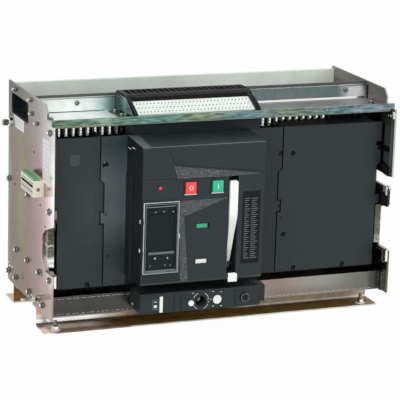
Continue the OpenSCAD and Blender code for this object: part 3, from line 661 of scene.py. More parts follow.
def front_rail_finish():
    """Golden front rail: brown flange with painted highlights and painted dark reflections, pale web with
    painted highlight bands, and a painted dark-and-bright reflection line where they meet.
    """
    flange, web = below(3.5), behind(107)
    gold = [(0.0, 118, 74, 58), (0.16, 104, 66, 46), (0.24, 116, 88, 40), (0.36, 162, 128, 62),
            (0.5, 166, 132, 64), (0.62, 122, 100, 48), (0.88, 112, 92, 46), (0.94, 140, 112, 86),
            (1.0, 176, 152, 122)]
    plated(
        "front_rail", "passivated_front_rail_painted_highlights", gold,
        wander=0.05, scale=12.0, rough=0.14, cloud=0.22, streak=0.2, wear=0.35, dust=0.0,
        zones=[
            ([flange], 1.0, 0.1, gold),
            # painted highlight: a bright band across the flange
            ([flange, depths(70, 92, 0.008)], 0.8, 0.3, [
                (0.0, 226, 196, 150), (0.12, 190, 150, 110), (0.2, 120, 76, 50), (0.34, 136, 106, 46),
                (1.0, 120, 96, 50)]),
            ([flange, before(50.4)], 1.0, 0.3, evenly((222, 226, 218), (214, 218, 208))),
            # painted reflection: pale pink flange at the left end
            ([flange, sideways(-420, -252, 0.05)], 0.9, 0.85, [
                (0.0, 120, 90, 62), (0.035, 236, 214, 190), (0.12, 232, 220, 204), (1.0, 226, 214, 196)]),
            # painted highlight: a near-white patch on the flange
            ([flange, depths(78, 106, 0.008), sideways(-376, -290, 0.03)], 0.7, 0.1,
             evenly((255, 252, 240), (250, 244, 226))),
            # painted dark reflection on the flange's front part
            ([flange, before(74, 0.008), sideways(-376, -200, 0.012)], 0.85, 0.3,
             evenly((120, 86, 66), (112, 80, 54))),
            # painted highlight beside the left end bolt
            ([flange, before(92, 0.01), sideways(-402, -384, 0.008)], 0.9, 0.15,
             evenly((255, 240, 216), (252, 234, 208))),
            ([above(3.5), web], 1.0, 0.0, [
                (0.0, 240, 196, 168), (0.26, 236, 206, 188), (0.34, 190, 164, 140), (0.6, 214, 194, 164),
                (1.0, 214, 196, 172)]),
            # painted highlight: a white band low on the web at the left
            ([heights(3, 27, 0.006), web, sideways(-420, -200, 0.02)], 1.0, 0.6,
             evenly((255, 255, 252), (255, 255, 252))),
            # painted highlight: a white band low on the web just right of x -200, then web tones
            ([heights(7.5, 15, 0.004), web, sideways(-200, 420, 0.02)], 1.0, 0.0, [
                (0.0, 255, 255, 255), (0.24, 255, 255, 252), (0.3, 190, 160, 130), (0.6, 214, 196, 166),
                (1.0, 214, 196, 172)]),
            # painted reflection: a dark line, then a bright line, where web meets flange
            ([heights(3.2, 6.4, 0.0008), behind(104)], 0.9, 0.1, [
                (0.0, 70, 50, 30), (0.3, 80, 60, 36), (0.56, 120, 96, 60), (0.62, 255, 252, 246),
                (1.0, 255, 252, 246)]),
        ])
    # painted highlight: a near-white line along the web's fold, darker beyond
    plated(
        "rail_bend", "rail_bend_painted_highlight",
        [(0.0, 255, 255, 252), (0.15, 255, 255, 250), (0.2, 196, 184, 160), (0.27, 120, 96, 62),
         (1.0, 120, 96, 62)],
        wander=0.02, rough=0.16, cloud=0.06, radius=0.0002)


def zinc_finishes():
    """The other plated sheets and fasteners, and the copper parts."""
    plated(
        "crossbar", "passivated_crossbar",
        [(0.0, 74, 75, 71), (0.55, 78, 78, 74), (0.62, 150, 138, 127), (0.68, 150, 132, 124),
         (0.76, 156, 152, 144), (0.84, 150, 150, 142), (0.9, 122, 124, 117), (0.955, 112, 114, 108),
         (0.965, 84, 88, 84), (1.0, 84, 88, 84)],
        wander=0.015, rough=0.26, cloud=0.1, wear=1.0, worn=(0.7, 0.72, 0.68, 1),
        zones=[([below(64, 0.016), sideways(120, 330, 0.04)], 0.7, 1.0,
                evenly((122, 112, 106), (128, 120, 112)))])
    plated("rear_rail", "passivated_rear_rail", evenly((104, 72, 42), (92, 70, 44), (120, 100, 74)),
           wander=0.2, cloud=0.2, streak=0.15,
           zones=[([below(3.5)], 1.0, 0.7, evenly((196, 184, 152), (180, 168, 140)))])
    plated("pan", "passivated_pan", evenly((150, 142, 128), (132, 126, 112), (148, 140, 124)),
           wander=0.3, rough=0.22, cloud=0.15)
    plated("bright", "bright_zinc", evenly((128, 134, 122), (134, 138, 128), (124, 130, 116)),
           wander=0.3, rough=0.24, cloud=0.15, stretch=(0.06, 1, 1))
    plated("terminal_bracket", "terminal_bracket_zinc",
           evenly((70, 92, 90), (132, 160, 150), (60, 80, 76), (96, 120, 112)),
           BACKWARD, back_at(60), 0.08, wander=0.7, scale=26.0, cloud=0.3, wear=1.0)
    # rail brackets: painted highlights, near-white at the foot and a bright band part way up
    plated("hanger", "bracket_zinc",
           [(0.0, 255, 255, 255), (0.22, 236, 255, 240), (0.3, 120, 130, 112), (0.52, 104, 106, 88),
            (0.56, 220, 216, 190), (0.6, 100, 98, 80), (1.0, 78, 76, 60)],
           UPWARD, 0.148, 0.094, wander=0.12, scale=60.0, cloud=0.4, streak=0.4, wear=0.4,
           zones=[([sideways(0, 400)], 0.8, 0.9, evenly((92, 98, 80), (108, 112, 94), (86, 90, 76)))])
    # slide rails: dark body as painted shade and painted reflection of the breaker, bright worn edges partly
    # painted edge highlights
    plated("slide", "slide_rail_zinc", evenly((60, 64, 62), (56, 60, 58)),
           wander=0.1, rough=0.22, cloud=0.15, wear=0.9, worn=(0.8, 0.82, 0.78, 1),
           zones=[
               # painted highlight on the near-white front end
               ([before(0.6)], 1.0, 0.3, evenly((240, 248, 242), (236, 240, 228))),
               # painted shadow: black gaps across the front face
               ([sideways(386.4, 390.2)], 0.95, 0.5, evenly((20, 22, 22), (24, 26, 24))),
               ([sideways(-390.2, -386.4)], 0.95, 0.5, evenly((20, 30, 30), (24, 34, 32))),
           ])
    small = {"grain": 1500.0, "direction": BACKWARD, "start": -0.3, "length": 0.6, "scale": 40.0}
    plated("bolt", "plated_fastener", evenly((118, 124, 120), (134, 134, 122), (120, 128, 126)),
           wander=0.8, radius=0.0004, cloud=0.2, wear=0.8, worn=(0.85, 0.86, 0.84, 1), **small)
    # Bright polished metal: the real colour of stud tips, bolt heads and pins, and a painted highlight where
    # laid along the channel's edges and on bolt domes
    plated("shine", "polished_tip_and_painted_highlight", evenly((236, 238, 234), (228, 230, 222)),
           wander=0.5, rough=0.16, radius=0.0003, cloud=0.05, **small)
    plated("stud", "bright_stud", evenly((226, 232, 228), (120, 124, 118), (236, 240, 234), (150, 152, 144)),
           ACROSS, -0.44, 0.04, wander=0.6, scale=60.0, rough=0.18, radius=0.0004, grain=1500.0, cloud=0.3,
           wear=0.8, worn=(0.9, 0.9, 0.88, 1))
    plated("tin", "tinned_copper", evenly((206, 204, 200), (196, 192, 184), (204, 202, 198)),
           wander=0.5, scale=9.0, rough=0.32, wear=0.5)
    plated("copper", "finger_copper", evenly((206, 160, 132), (214, 170, 140), (200, 152, 124)),
           wander=0.5, scale=9.0, rough=0.3, worn=(0.8, 0.5, 0.36, 1))


def dull(level):
    """Shader values of a moulding that reflects little."""
    return {"Specular IOR Level": level}


def shade(colour, factor, most=99.0):
    """A colour made darker or lighter."""
    return tuple(min(c * factor, most) for c in colour[:3]) + (1,)


def cover_finishes(cover, jet):
    """Black and dark grey mouldings of the covers, the hood and the cradle."""
    smooth = {"depth": 0.1, "grain": 1100.0, "values": dull(0.35)}
    plastic("cover", "moulded_cover", cover, 0.42, **smooth,
            zones=[([sideways(-326, -277, 0.05), heights(200, 370, 0.1)], (0.034, 0.046, 0.05, 1))])
    # left inner panel: cover colour lightened 1.5 times as painted light against the control cover's shadow,
    # with a painted reflection band
    plastic("inner_cover_painted_light", "moulded_inner_cover", shade(cover, 1.5), 0.42, **smooth,
            zones=[([heights(215, 380, 0.07)], (0.084, 0.105, 0.115, 1))])
    corner = (-0.7071, 0.0, 0.7071)
    plastic("control_cover", "moulded_control_cover", shade(cover, 0.82), 0.4, **smooth, zones=[
        ([above(430.5, 0.001)], (0.008, 0.018, 0.023, 1)),
        # painted highlight on the top-left corner of the control cover
        ([(corner, 0.4475, FAR, 0.006), above(422, 0.001), behind(-58.5)], (0.10, 0.135, 0.145, 1)),
        ([sideways(-226, -220.5, 0.0002)], (0.007, 0.011, 0.012, 1)),
    ])
    plastic("pad", "embossed_pad", (0.044, 0.054, 0.056, 1), 0.4, wear=1.0, **smooth)
    plastic("panel_right", "moulded_right_panel", shade(cover, 0.9), 0.42, **smooth)
    # right inner panel: cover colour darkened to 0.6 as painted shade
    plastic("inner_panel_painted_shade", "moulded_inner_panel", shade(cover, 0.6), 0.42, **smooth)
    plastic("jet", "jet_moulding", jet, 0.34, depth=0.06, values=dull(0.35))
    plastic("hood", "gloss_hood", shade(jet, 1.6), 0.3, depth=0.03, wear=0.8, dust=0.0, values=dull(0.2))
    plastic("racking", "racking_moulding", shade(cover, 0.8), 0.36, values=dull(0.35))
    # pale worn edges, partly painted edge highlights
    plastic("housing", "terminal_housing", (0.004, 0.005, 0.005, 1), 0.5, depth=0.1, wear=1.0,
            worn=(0.3, 0.36, 0.33, 1), radius=0.001, dust=0.0, values=dull(0.12))
    plastic("guide", "guide_moulding", (0.048, 0.05, 0.058, 1), 0.4, depth=0.04, values=dull(0.35), zones=[
        ([behind(37, 0.004)], (0.004, 0.004, 0.004, 1)),
        ([below(341, 0.003)], (0.012, 0.012, 0.011, 1)),
        ([above(430, 0.008), before(60)], (0.022, 0.026, 0.018, 1)),
    ])
    # Near-black painted shade, laid where holes, gaps, seams, recesses and the feet of fasteners fall into
    # shadow
    plastic("painted_shade", "shadowed_recess", (0.002, 0.0025, 0.003, 1), 0.7, radius=0.0003, depth=0.02,
            dust=0.0, wear=0.0, values=dull(0.1))
    plastic("screen", "display_glass", (0.017, 0.025, 0.024, 1), 0.4, depth=0.005, mottle=0.1,
            values=dull(0.1))
    plastic("bezel", "display_bezel", (0.016, 0.022, 0.024, 1), 0.5, depth=0.03, values=dull(0.12))
    plastic("nameplate", "dark_nameplate", (0.008, 0.011, 0.013, 1), 0.35, depth=0.02, mottle=0.1,
            values=dull(0.12))


def pale_finishes(colours):
    """White, grey and coloured mouldings, labels and marks."""
    wall, white = colours.wall[:], colours.white[:]
    # rear wall: its right part painted lighter, painted light
    plastic("wall", "grey_wall", wall, 0.55, depth=0.1, mottle=0.06,
            zones=[([sideways(60, 420, 0.12)], shade(wall, 1.18, 0.95))])
    # arc barrier: a dark grey that stands in for the shadow gap above the channel wall, painted shade
    plastic("barrier", "barrier_painted_shade", (0.075, 0.082, 0.072, 1), 0.5, depth=0.08)
    ivory = {"rough": 0.34, "depth": 0.03, "mottle": 0.03, "dust": 0.02}
    plastic("white", "white_moulding", white, **ivory)
    dark = (0.008, 0.01, 0.01, 1)
    # lever: greyer below z 266 and black at the foot, painted shade inside its slot
    plastic("lever", "lever_moulding", white, **ivory, zones=[
        ([below(266, 0.02)], shade(white, 0.78)),
        ([below(164, 0.001), sideways(-16.5, 10, 0.001)], dark),
        ([below(152, 0.001)], dark),
    ])
    plastic("terminal_white", "terminal_moulding", (0.82, 0.89, 0.82, 1), 0.4, depth=0.03, mottle=0.05)
    dark = (0.012, 0.014, 0.015, 1)
    # arc pegs: ribs black below z 429.5 and right of x 271, painted shade under the lip
    plastic("peg", "arc_peg", (0.97, 0.95, 0.91, 1), 0.3, depth=0.02, mottle=0.04, dust=0.0,
            zones=[([below(429.5, 0.001)], dark), ([sideways(271, 420, 0.001)], dark)])
    plastic("cream", "cream_moulding", colours.cream[:], 0.42, depth=0.04, mottle=0.05)
    plastic("green", "green_marker", colours.green[:], 0.4)
    for key, colour in (("red_button", colours.red), ("green_button", colours.green_button)):
        plastic(key, key, colour[:], 0.3, depth=0.02, mottle=0.03)
    plastic("flag", "indicator_flag", (0.02, 0.42, 0.2, 1), 0.4, depth=0.02,
            zones=[([below(200)], (0.86, 0.88, 0.86, 1))])
    plastic("lamp", "red_lamp", (0.95, 0.04, 0.03, 1), 0.2, depth=0.01)
    plastic("label", "blank_label", (0.72, 0.73, 0.72, 1), 0.5, radius=0.0002, depth=0.03, mottle=0.03)
    plastic("ruling", "label_ruling", (0.3, 0.31, 0.3, 1), 0.5, radius=0.0001, depth=0.02)
    plastic("mark", "white_mark", (0.8, 0.82, 0.8, 1), radius=0.0001, depth=0.02, mottle=0.03)
    plastic("grey_mark", "grey_mark", (0.2, 0.22, 0.22, 1), radius=0.0002, depth=0.02)
    # whitish window rim: partly the clear frame, partly a painted highlight
    plastic("rim", "window_rim", (0.62, 0.67, 0.66, 1), 0.25, radius=0.0002, depth=0.01, mottle=0.05)
    speckled_inlay(colours.inlay[:])
    clear_window()


def build_finishes(colours):
    """Makes every shared effect and every finish that the pieces use."""
    for build in (build_edge_group, build_grain_group, build_film_group, build_dust_group, build_zone_group,
                  plate_finish, channel_finish, front_rail_finish, zinc_finishes):
        build()
    cover_finishes(colours.cover[:], colours.jet[:])
    pale_finishes(colours)


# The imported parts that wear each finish
CAD_FINISHES = {
    "side_plate": ["left_side_plate", "right_side_plate"], "front_rail": ["front_base_rail"],
    "rear_rail": ["rear_base_rail"], "pan": ["bottom_pan"], "channel": ["top_channel"],
    "crossbar": ["front_crossbar"], "bright": ["fixed_rails"],
    "terminal_bracket": ["auxiliary_terminal_brackets"], "hanger": ["rail_brackets"],
    "slide": ["left_slide_rail", "right_slide_rail"], "wall": ["rear_wall"], "barrier": ["arc_barrier"],
    "tin": ["main_terminals"], "copper": ["contact_clusters"], "bolt": ["racking_screw", "carriage_rollers"],
    "stud": ["side_studs"], "housing": ["auxiliary_terminal_housing"], "guide": ["side_guides"],
    "jet": ["handle_cup", "pole_housing", "arc_chutes", "key_barrel"], "bezel": ["trip_unit"],
    "racking": ["racking_housing"], "hood": ["disconnect_housing"], "cover": ["left_outer_panel"],
    "inner_cover_painted_light": ["left_inner_panel"], "control_cover": ["front_cover"],
    "panel_right": ["right_outer_panel"], "inner_panel_painted_shade": ["right_inner_panel"],
    "white": ["release_button", "position_disc", "padlock_tab"], "lever": ["charging_lever"],
    "terminal_white": ["auxiliary_terminal_strip"], "cream": ["side_terminal_block"],
    "peg": ["arc_chute_ribs"], "green": ["side_terminal_marker"], "red_button": ["off_button"],
    "green_button": ["on_button"], "flag": ["indicator_plates"], "glass": ["trip_window"],
}


# ---------------------------------------------------------------- sizes and colours


def colour_choice(name, description, colour):
    """A colour that the user may change."""
    return FloatVectorProperty(
        name=name, description=description, default=colour, size=4, subtype="COLOR", min=0, max=1
    )


class FinishColours(PropertyGroup):
    cover: colour_choice("Cover", "Moulded front covers", (0.014, 0.025, 0.028, 1))
    jet: colour_choice("Jet", "Black mouldings", (0.006, 0.010, 0.013, 1))
    wall: colour_choice("Rear wall", "Moulded rear wall", (0.72, 0.79, 0.72, 1))
    white: colour_choice("White", "White mouldings", (0.92, 0.95, 0.89, 1))
    cream: colour_choice("Cream", "Cream mouldings", (0.74, 0.73, 0.60, 1))
    green: colour_choice("Green marker", "Marker strip of the side terminals", (0.09, 0.37, 0.14, 1))
    inlay: colour_choice("Inlay", "Ground of the speckled inlays", (0.036, 0.04, 0.042, 1))
    red: colour_choice("Off button", "Red push button", (0.86, 0.07, 0.04, 1))
    green_button: colour_choice("On button", "Green push button", (0.01, 0.5, 0.27, 1))


def length_choice(name, description, default, least, most):
    """A length that the user may change."""
    return FloatProperty(
        name=name, description=description, default=default, unit="LENGTH", min=least, max=most
    )


def angle_choice(name, description, degrees):
    """An angle that the user may change."""
    return FloatProperty(
        name=name, description=description, default=math.radians(degrees), subtype="ANGLE"
    )


class FastenerSizes(PropertyGroup):
    across_flats: length_choice("Across flats", "Hexagon size of the plate bolts", 0.010, 0.008, 0.024)
    washer: length_choice("Washer radius", "Radius of the washers under the bolts", 0.0075, 0.006, 0.018)
    screw: length_choice("Screw radius", "Head radius of the small screws", 0.004, 0.002, 0.008)


class StageSettings(PropertyGroup):
    azimuth: angle_choice("Azimuth", "Camera direction around the cradle", -21.54)
    elevation: angle_choice("Elevation", "Camera height above the level", 14.40)
    roll: angle_choice("Roll", "Tilt of the camera about its own axis", 1.73)
    distance: length_choice("Distance", "Camera distance from its target", 4.334, 1.0, 50.0)
    lens: FloatProperty(name="Focal length", description="Camera focal length in millimetres",
                        default=179.7, min=20.0)
    key_power: FloatProperty(name="Key lamp", description="Power of the main lamp in watts",
                             default=60.0, min=0.0)
    fill_power: FloatProperty(name="Fill lamp", description="Power of the fill lamp in watts",
                              default=25.0, min=0.0)
    room_light: FloatProperty(name="Room light", description="Strength of the even studio light",
                              default=0.75, min=0.0)


# ---------------------------------------------------------------- operators


class BREAKER_OT_finishes(Operator):
    """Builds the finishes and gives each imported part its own"""

    bl_idname = "breaker.finishes"
    bl_label = "Finishes"

    def execute(self, context):
        build_finishes(context.scene.finish_colours)
        for finish, nodes in CAD_FINISHES.items():
            for node in nodes:
                mesh = frame["nodes"][node].data
                mesh.materials.clear()
                mesh.materials.append(FINISHES[finish])
        return {"FINISHED"}


# Fasteners of a side plate, as (back, height)
PLATE_BOLTS = [
    (335, 282), (183, 282), (25, 282), (24, 454), (271, 132), (185, 131), (96, 129), (18, 132),
    (335, 65), (277, 65), (171, 63), (67, 62),
]
PLATE_SCREWS = [(330, 432), (225, 80), (77, 129)]
GUIDE_BOLTS = [(287, 496), (168, 496), (158, 468), (119, 454)]
RIVETS = [(336, 84), (322, 80), (303, 82)]
# Radius of the washers at the foot of the stop studs
STUD_WASHER = 11.0


class BREAKER_OT_plate_fasteners(Operator):
    """Hexagon bolts, screws and stud heads on both side plates"""

    bl_idname = "breaker.plate_fasteners"
    bl_label = "Plate fasteners"

    def execute(self, context):
        sizes = context.scene.fastener_sizes
        flats, washer, screw = sizes.across_flats / MM, sizes.washer / MM, sizes.screw / MM
        stop = reach("side_studs")[1]
        for name, side in SIDES:
            shape = Shape("bolt")
            x, out = side * HALF_WIDTH, OUT * side
            for spot in PLATE_BOLTS:
                shape.bolt((x, *spot), out, flats, washer)
            for spot in PLATE_SCREWS:
                shape.pan_screw((x, *spot), out, screw, 2.2)
            for spot in GUIDE_BOLTS:
                shape.bolt((x, *spot), out, 7.5, 5.0)
                shape.use("shine").rod((x + 4 * side, *spot), out, 2.8, 4.4)
            for spot in RIVETS:
                shape.pan_screw((x, *spot), out, screw * 0.6, 1.8)
            head = (x + 14 * side, stop.y - STUD_WASHER, stop.z - STUD_WASHER)
            shape.use("bolt").rod(head, out, 7.2, 11.9, 1.2)
            shape.made(f"{name}_plate_fasteners", "cradle", "steel")
        return {"FINISHED"}


class BREAKER_OT_labels(Operator):
    """Blank ruled labels on the left side plate"""

    bl_idname = "breaker.labels"
    bl_label = "Blank labels"

    def execute(self, context):
        shape = Shape("label")
        x = -HALF_WIDTH
        for back0, back1, low, high, rules in ((217, 297, 412, 438, 3), (20, 74, 337, 434, 9)):
            shape.use("label").block((x - 0.4, back0, low), (x, back1, high), 0.1, 1)
            for k in range(rules):
                z = low + (high - low) / (rules + 1) * (k + 1)
                shape.use("ruling").block((x - 0.5, back0 + 5, z), (x - 0.3, back1 - 5, z + 0.7))
        shape.made("plate_labels", "cradle", "white_plastic")
        return {"FINISHED"}


# Speckled inlays of the control unit, as (x, height)
INLAYS = [
    [(-150, 387), (54, 360), (-22, 358), (-142, 359)],
    [(-138, 307), (-126, 310), (-25, 311), (-125, 275), (-113, 132), (-130, 132), (-131, 143)],
]
# How far a button's cap stands inside the button's block, and how far its mark stands out
CAP_INSET = 1.8
MARK_OUT = 0.35


class BREAKER_OT_control_details(Operator):
    """Inlays, button surrounds, lamp, nameplate and foot of the control unit, with painted shade round the
    buttons and beside the indicator windows and a painted highlight along the cover's top front edge
    """

    bl_idname = "breaker.control_details"
    bl_label = "Control details"

    def execute(self, context):
        shape = Shape("inlay")
        for outline in INLAYS:
            shape.plaque(outline, FACE - 0.4, 0.6, 0.1)
        shape.made("speckled_inlays", "breaker", "cover_plastic")

        shape = Shape("jet")
        for node in ("off_button", "on_button"):
            low, high = reach(node)
            # black surround that stands in for the shadow outline of each button's recess, painted shade
            shape.use("jet").frame_ring(
                (low.x - 3, low.z - 3), (high.x + 3, high.z + 3), FACE - 0.9, 1.4, 4.0)
            shape.use("white").block((low.x, FACE - 2.2, low.z - 0.9), (high.x, FACE, low.z + 0.8), 0.4, 1)
        shape.use("nameplate").block((9, FACE - 0.8, 160), (51, FACE + 0.4, 322), 0.3, 1)
        shape.use("grey_mark")
        for row in range(30):
            z = 172 + 4.6 * row
            for start, end in ((14, 27), (30, 46)):
                shape.block((start, FACE - 0.9, z), (end - (row * 5) % 8, FACE - 0.7, z + 0.9))
        # painted highlight: a grey line along the cover's top front edge
        shape.block((-220.5, FACE + 1.2, 429.4), (58.5, FACE + 2.0, 430.2))
        foot = [(-1.2, 121), (-1.2, 137), (1, 140.5), (3, 140.5), (3, 121)]
        shape.use("white").prism([(-19, FACE + back, z) for back, z in foot], (20.5, 0, 0), 0.6, 2)
        # painted shadow: dark lines along the right and top of the two indicator windows
        shape.use("painted_shade")
        for z, side in ((247, 3.6), (168, 1.2)):
            shape.tiles(FACE - 0.2, FACE + 0.4, 0.1, [
                (-70, z - 0.4, -70 + side, z + 11.4), (-96.6, z + 10, -69.8, z + 11.4)])
        low, high = reach("indicator_plates")
        x, z, half = low.x + 2.5, high.z - 2.5, 4.6
        diamond = [(x - half, z), (x, z - half), (x + half, z), (x, z + half)]
        shape.use("lamp").plaque(diamond, FACE - 1.8, 1.9, 0.5)
        shape.made("control_fittings", "breaker", "cover_plastic")
        return {"FINISHED"}


class BREAKER_OT_button_caps(Operator):
    """Marked caps that stand for the blocks of the two push buttons"""

    bl_idname = "breaker.button_caps"
    bl_label = "Button caps"

    def execute(self, context):
        for node, finish, body in (
            ("off_button", "red_button", "off_push"), ("on_button", "green_button", "on_push"),
        ):
            low, high = reach(node)
            x, z = (low.x + high.x) / 2, (low.z + high.z) / 2
            inset = Vector((CAP_INSET, 0, CAP_INSET))
            cap = Shape(finish)
            cap.block(low + inset, high - inset, 1.4, 3)
            cap.use("mark")
            if node == "off_button":
                cap.ring((x, low.y, z), IN_FRONT, 4.8, 3.5, MARK_OUT, 0.1, 36)
            else:
                cap.tiles(low.y - MARK_OUT, low.y + 0.1, 0, [(x - 0.9, z - 5.2, x + 0.9, z + 5.2)])
            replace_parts(cap.made(f"{node}_cap", body, finish), node)
        return {"FINISHED"}


class BREAKER_OT_trip_details(Operator):
    """Display, keys, bezel and clips of the trip unit, and the rim of its window, whose whitish colour is
    partly a painted highlight
    """

    bl_idname = "breaker.trip_details"
    bl_label = "Trip unit details"

    def execute(self, context):
        front = FACE - 2.0
        shape = Shape("screen")
        for finish, start, stop, soft, tiles in (
            ("screen", 0.8, 3.2, 0.3, [(-204.5, 203.5, -148.5, 286.5)]),
            ("bezel", -0.5, 0.2, 0.2, [(-212, 287, -143.5, 303), (-212, 157.5, -143.5, 178),
                                       (-212, 178, -205, 287), (-148, 196, -143.5, 287)]),
            ("screen", -0.7, 0.2, 0.3, [(-205, 178, -146, 195.5)]),
            ("grey_mark", -0.9, 0.2, 0.3, [(-205, 196.3, -147, 201.5)]),
            ("mark", -0.7, 0, 0, [(-211, 300.5, -144, 301.2), (-211, 159.5, -144, 160.2)]),
        ):
            shape.use(finish).tiles(front + start, front + stop, soft, tiles)
        for finish, out, dots in (
            ("grey_mark", 0.9, [(-192, 187, 1.8), (-201, 171, 1.8), (-167, 171, 1.8), (-155, 170, 1.8)]),
            ("mark", 1.1, [(-191, 289.5, 1.2), (-172, 290, 1.2), (-151, 288.5, 1.4), (-190, 188, 1.9),
                           (-162, 187, 1.7)]),
        ):
            for x, z, radius in dots:
                shape.use(finish).rod((x, front, z), IN_FRONT, radius, out, 0.2, 16)
        shape.use("white").tiles(FACE + 3.5, FACE + 6.5, 0.4, [
            (-223.8, 201, -221.5, 209), (-223.8, 265, -221.5, 273)])
        shape.made("trip_unit_fittings", "breaker", "jet_plastic")

        # whitish rim: partly the window's frame, partly a painted highlight
        rim = Shape("rim")
        low, high = reach("trip_window")
        left, right = -218.0, high.x
        for out, start, depth, width, soft in ((0.7, 0.1, 5.6, 0.9, 0.2), (-3.0, 0.02, 0.3, 0.5, 0.05)):
            corners = (left - out, low.z - out), (right + out, high.z + out)
            rim.frame_ring(*corners, low.y + start, depth, width, soft)
        rim.tiles(low.y + 1, low.y + 4.5, 0.5, [(right + 0.2, 230, right + 3.2, 241)])
        rim.made("window_rim", "window_leaf", "clear_cover")
        return {"FINISHED"}


# Painted shade rings that stand for the covers' recesses, and the covers' screws, as (x, height, radius)
COVER_RECESSES = [
    (-269, 374, 5.0), (-270, 265, 3.2), (-263, 170, 2.8), (-305, 104.5, 2.6), (168, 375, 4.4),
    (152, 190, 4.4), (139.5, 375, 3.2), (139, 256, 2.2), (145, 228, 2.0), (180, 108, 3), (301, 106, 3),
]
COVER_SCREWS = [
    (-263, 170, 2.4), (-308, 107, 3.6), (168, 375, 3.8), (152, 190, 3.8), (180, 107, 3.6), (301, 107, 3.6),
]


class BREAKER_OT_cover_details(Operator):
    """Clips with painted shadow strips, seams, screws in painted shade rings and emblem pad of the covers"""

    bl_idname = "breaker.cover_details"
    bl_label = "Cover details"

    def execute(self, context):
        left = reach("front_cover")[0].x + 2
        shape = Shape("mark")
        for back, z in ((18, 411), (-8, 417)):
            shape.use("mark").block((left - 0.6, back, z - 1), (left + 0.2, back + 16, z + 1.2), 0.2, 1)
            # painted shadow: a dark strip above each clip
            shape.use("painted_shade").block((left - 0.4, back, z + 2), (left + 0.2, back + 16, z + 5), 0.1, 1)
        shape.use("hood").block((left - 2.4, -3, 126), (left + 0.2, -1.6, 353), 0.4, 1)
        shape.made("cover_clips", "breaker", "cover_plastic")

        shape = Shape("painted_shade")
        # painted shade: dark rings that stand for the recesses
        for x, z, radius in COVER_RECESSES:
            shape.ring((x, PANEL, z), IN_FRONT, radius + 0.8, radius - 0.5, 0.3, 0.1, 20)
        for x, z, radius in COVER_SCREWS:
            shape.use("hood").pan_screw((x, PANEL + 3.6, z), IN_FRONT, radius, 2.0)
        for start in (1.2, 4.4):
            shape.use("mark").ring((-271, PANEL + 0.2, 374), IN_FRONT, 5.6, 4.4, 0.5, 0.1, 32, start, 0.9)
        shape.made("panel_screws", "breaker", "steel")

        shape = Shape("pad")
        shape.tiles(PANEL - 0.5, PANEL + 0.3, 0.3, [(-350, 375, -328, 400)])
        shape.frame_ring((-349, 376), (-329, 399), PANEL - 0.9, 0.6, 0.8, 0.2)
        shape.made("panel_emblem_pad", "breaker", "cover_plastic")
        return {"FINISHED"}


# Short marks beside the racking unit's hole and dial, as (x, height)
RACKING_MARKS = [(-41, 92), (-22, 90), (-40, 59), (-21, 58), (-52, 76), (-45, 75), (-88, 92), (-51, 70)]


class BREAKER_OT_racking_details(Operator):
    """Seams and a crank-hole ring in painted shade, marks, screws and keyhole rim of the racking unit"""

    bl_idname = "breaker.racking_details"
    bl_label = "Racking unit details"

    def execute(self, context):
        low, high = reach("racking_housing")
        front = low.y
        dial = (-69, front, 73)
        # painted shade: dark seam lines and a dark ring round the crank hole
        shape = Shape("painted_shade")
        shape.tiles(front - 0.15, front + 0.3, 0, [
            (x - 0.5, low.z + 5, x + 0.5, high.z - 6) for x in (-130, -116, 11)])
        shape.ring(dial, IN_FRONT, 12.2, 9.6, 0.5, 0.2, 32)
        shape.use("mark")
        for start in (0.35, 1.95, 3.5, 5.1):
            shape.ring(dial, IN_FRONT, 19.3, 18.4, 0.3, 0.1, 48, start, 0.75)
        shape.tiles(front - 0.3, front + 0.1, 0, [
            *((x - 2, z - 0.6, x + 2, z + 0.6) for x, z in RACKING_MARKS),
            (-178, 66, -171, 72), (-177, 78, -172, 80)])
        shape.use("grey_mark").frame_ring((-181, 62), (-168, 84), front - 0.4, 0.5, 0.7, 0.1)
        shape.use("racking")
        shape.frame_ring((low.x + 1, low.z + 4), (-131.5, high.z - 4), front - 0.9, 1.2, 1.6)
        shape.frame_ring((12.5, low.z + 4), (71, high.z - 9), front - 0.9, 1.2, 1.6)
        shape.use("hood").tiles(front + 1, front + 12, 0, [(low.x + 2, high.z - 6, 66, high.z - 5.5)])
        shape.made("racking_face", "cradle", "jet_plastic")

        near, far = reach("key_barrel")
        key = ((near.x + far.x) / 2, near.y, (near.z + far.z) / 2)
        rim = Shape("bolt")
        rim.ring(key, IN_FRONT, 9.6, 8.6, 0.5, 0.15, 36)
        rim.use("hood").ring(key, IN_FRONT, 7.0, 3.0, 0.8, 0.2, 24)
        rim.made("key_rim", "key_lock", "jet_plastic")

        screws = Shape("bolt")
        screws.pan_screw((low.x, 18, 64), -OUT, 4.5, 2.4)
        screws.pan_screw((high.x, 18, 66), OUT, 4.0, 2.0)
        screws.made("racking_screws", "cradle", "steel")
        return {"FINISHED"}


# The sloping face of the auxiliary terminals: where it starts and how it rises
SLOPE = math.atan2(21, 45)
SLOPE_ALONG = Vector((0, math.cos(SLOPE), math.sin(SLOPE)))
SLOPE_NORMAL = Vector((0, -math.sin(SLOPE), math.cos(SLOPE)))
SLOPE_START = Vector((0, 24, 479)) + SLOPE_NORMAL * 5
TERMINALS, TERMINAL_PITCH = 32, 8.2
# Side view of the terminal housing's cheeks, as (back, height)
CHEEK = [(19, 470), (19, 483), (24, 488.5), (58, 504.5), (70, 509), (78, 509), (70, 498), (30, 474)]
HOUSING_TOP = 514.0
SIDE_POSTS = 12


def on_slope(x, along):
    """A point of the sloping face."""
    return (x, *(SLOPE_START + SLOPE_ALONG * along).yz)


def slope_bar(shape, x0, x1, along0, along1, thick, soft=0.0):
    """A bar laid on the sloping face."""
    corners = ((x0, along0), (x1, along0), (x1, along1), (x0, along1))
    shape.prism([on_slope(*corner) for corner in corners], SLOPE_NORMAL * thick, soft, 1)


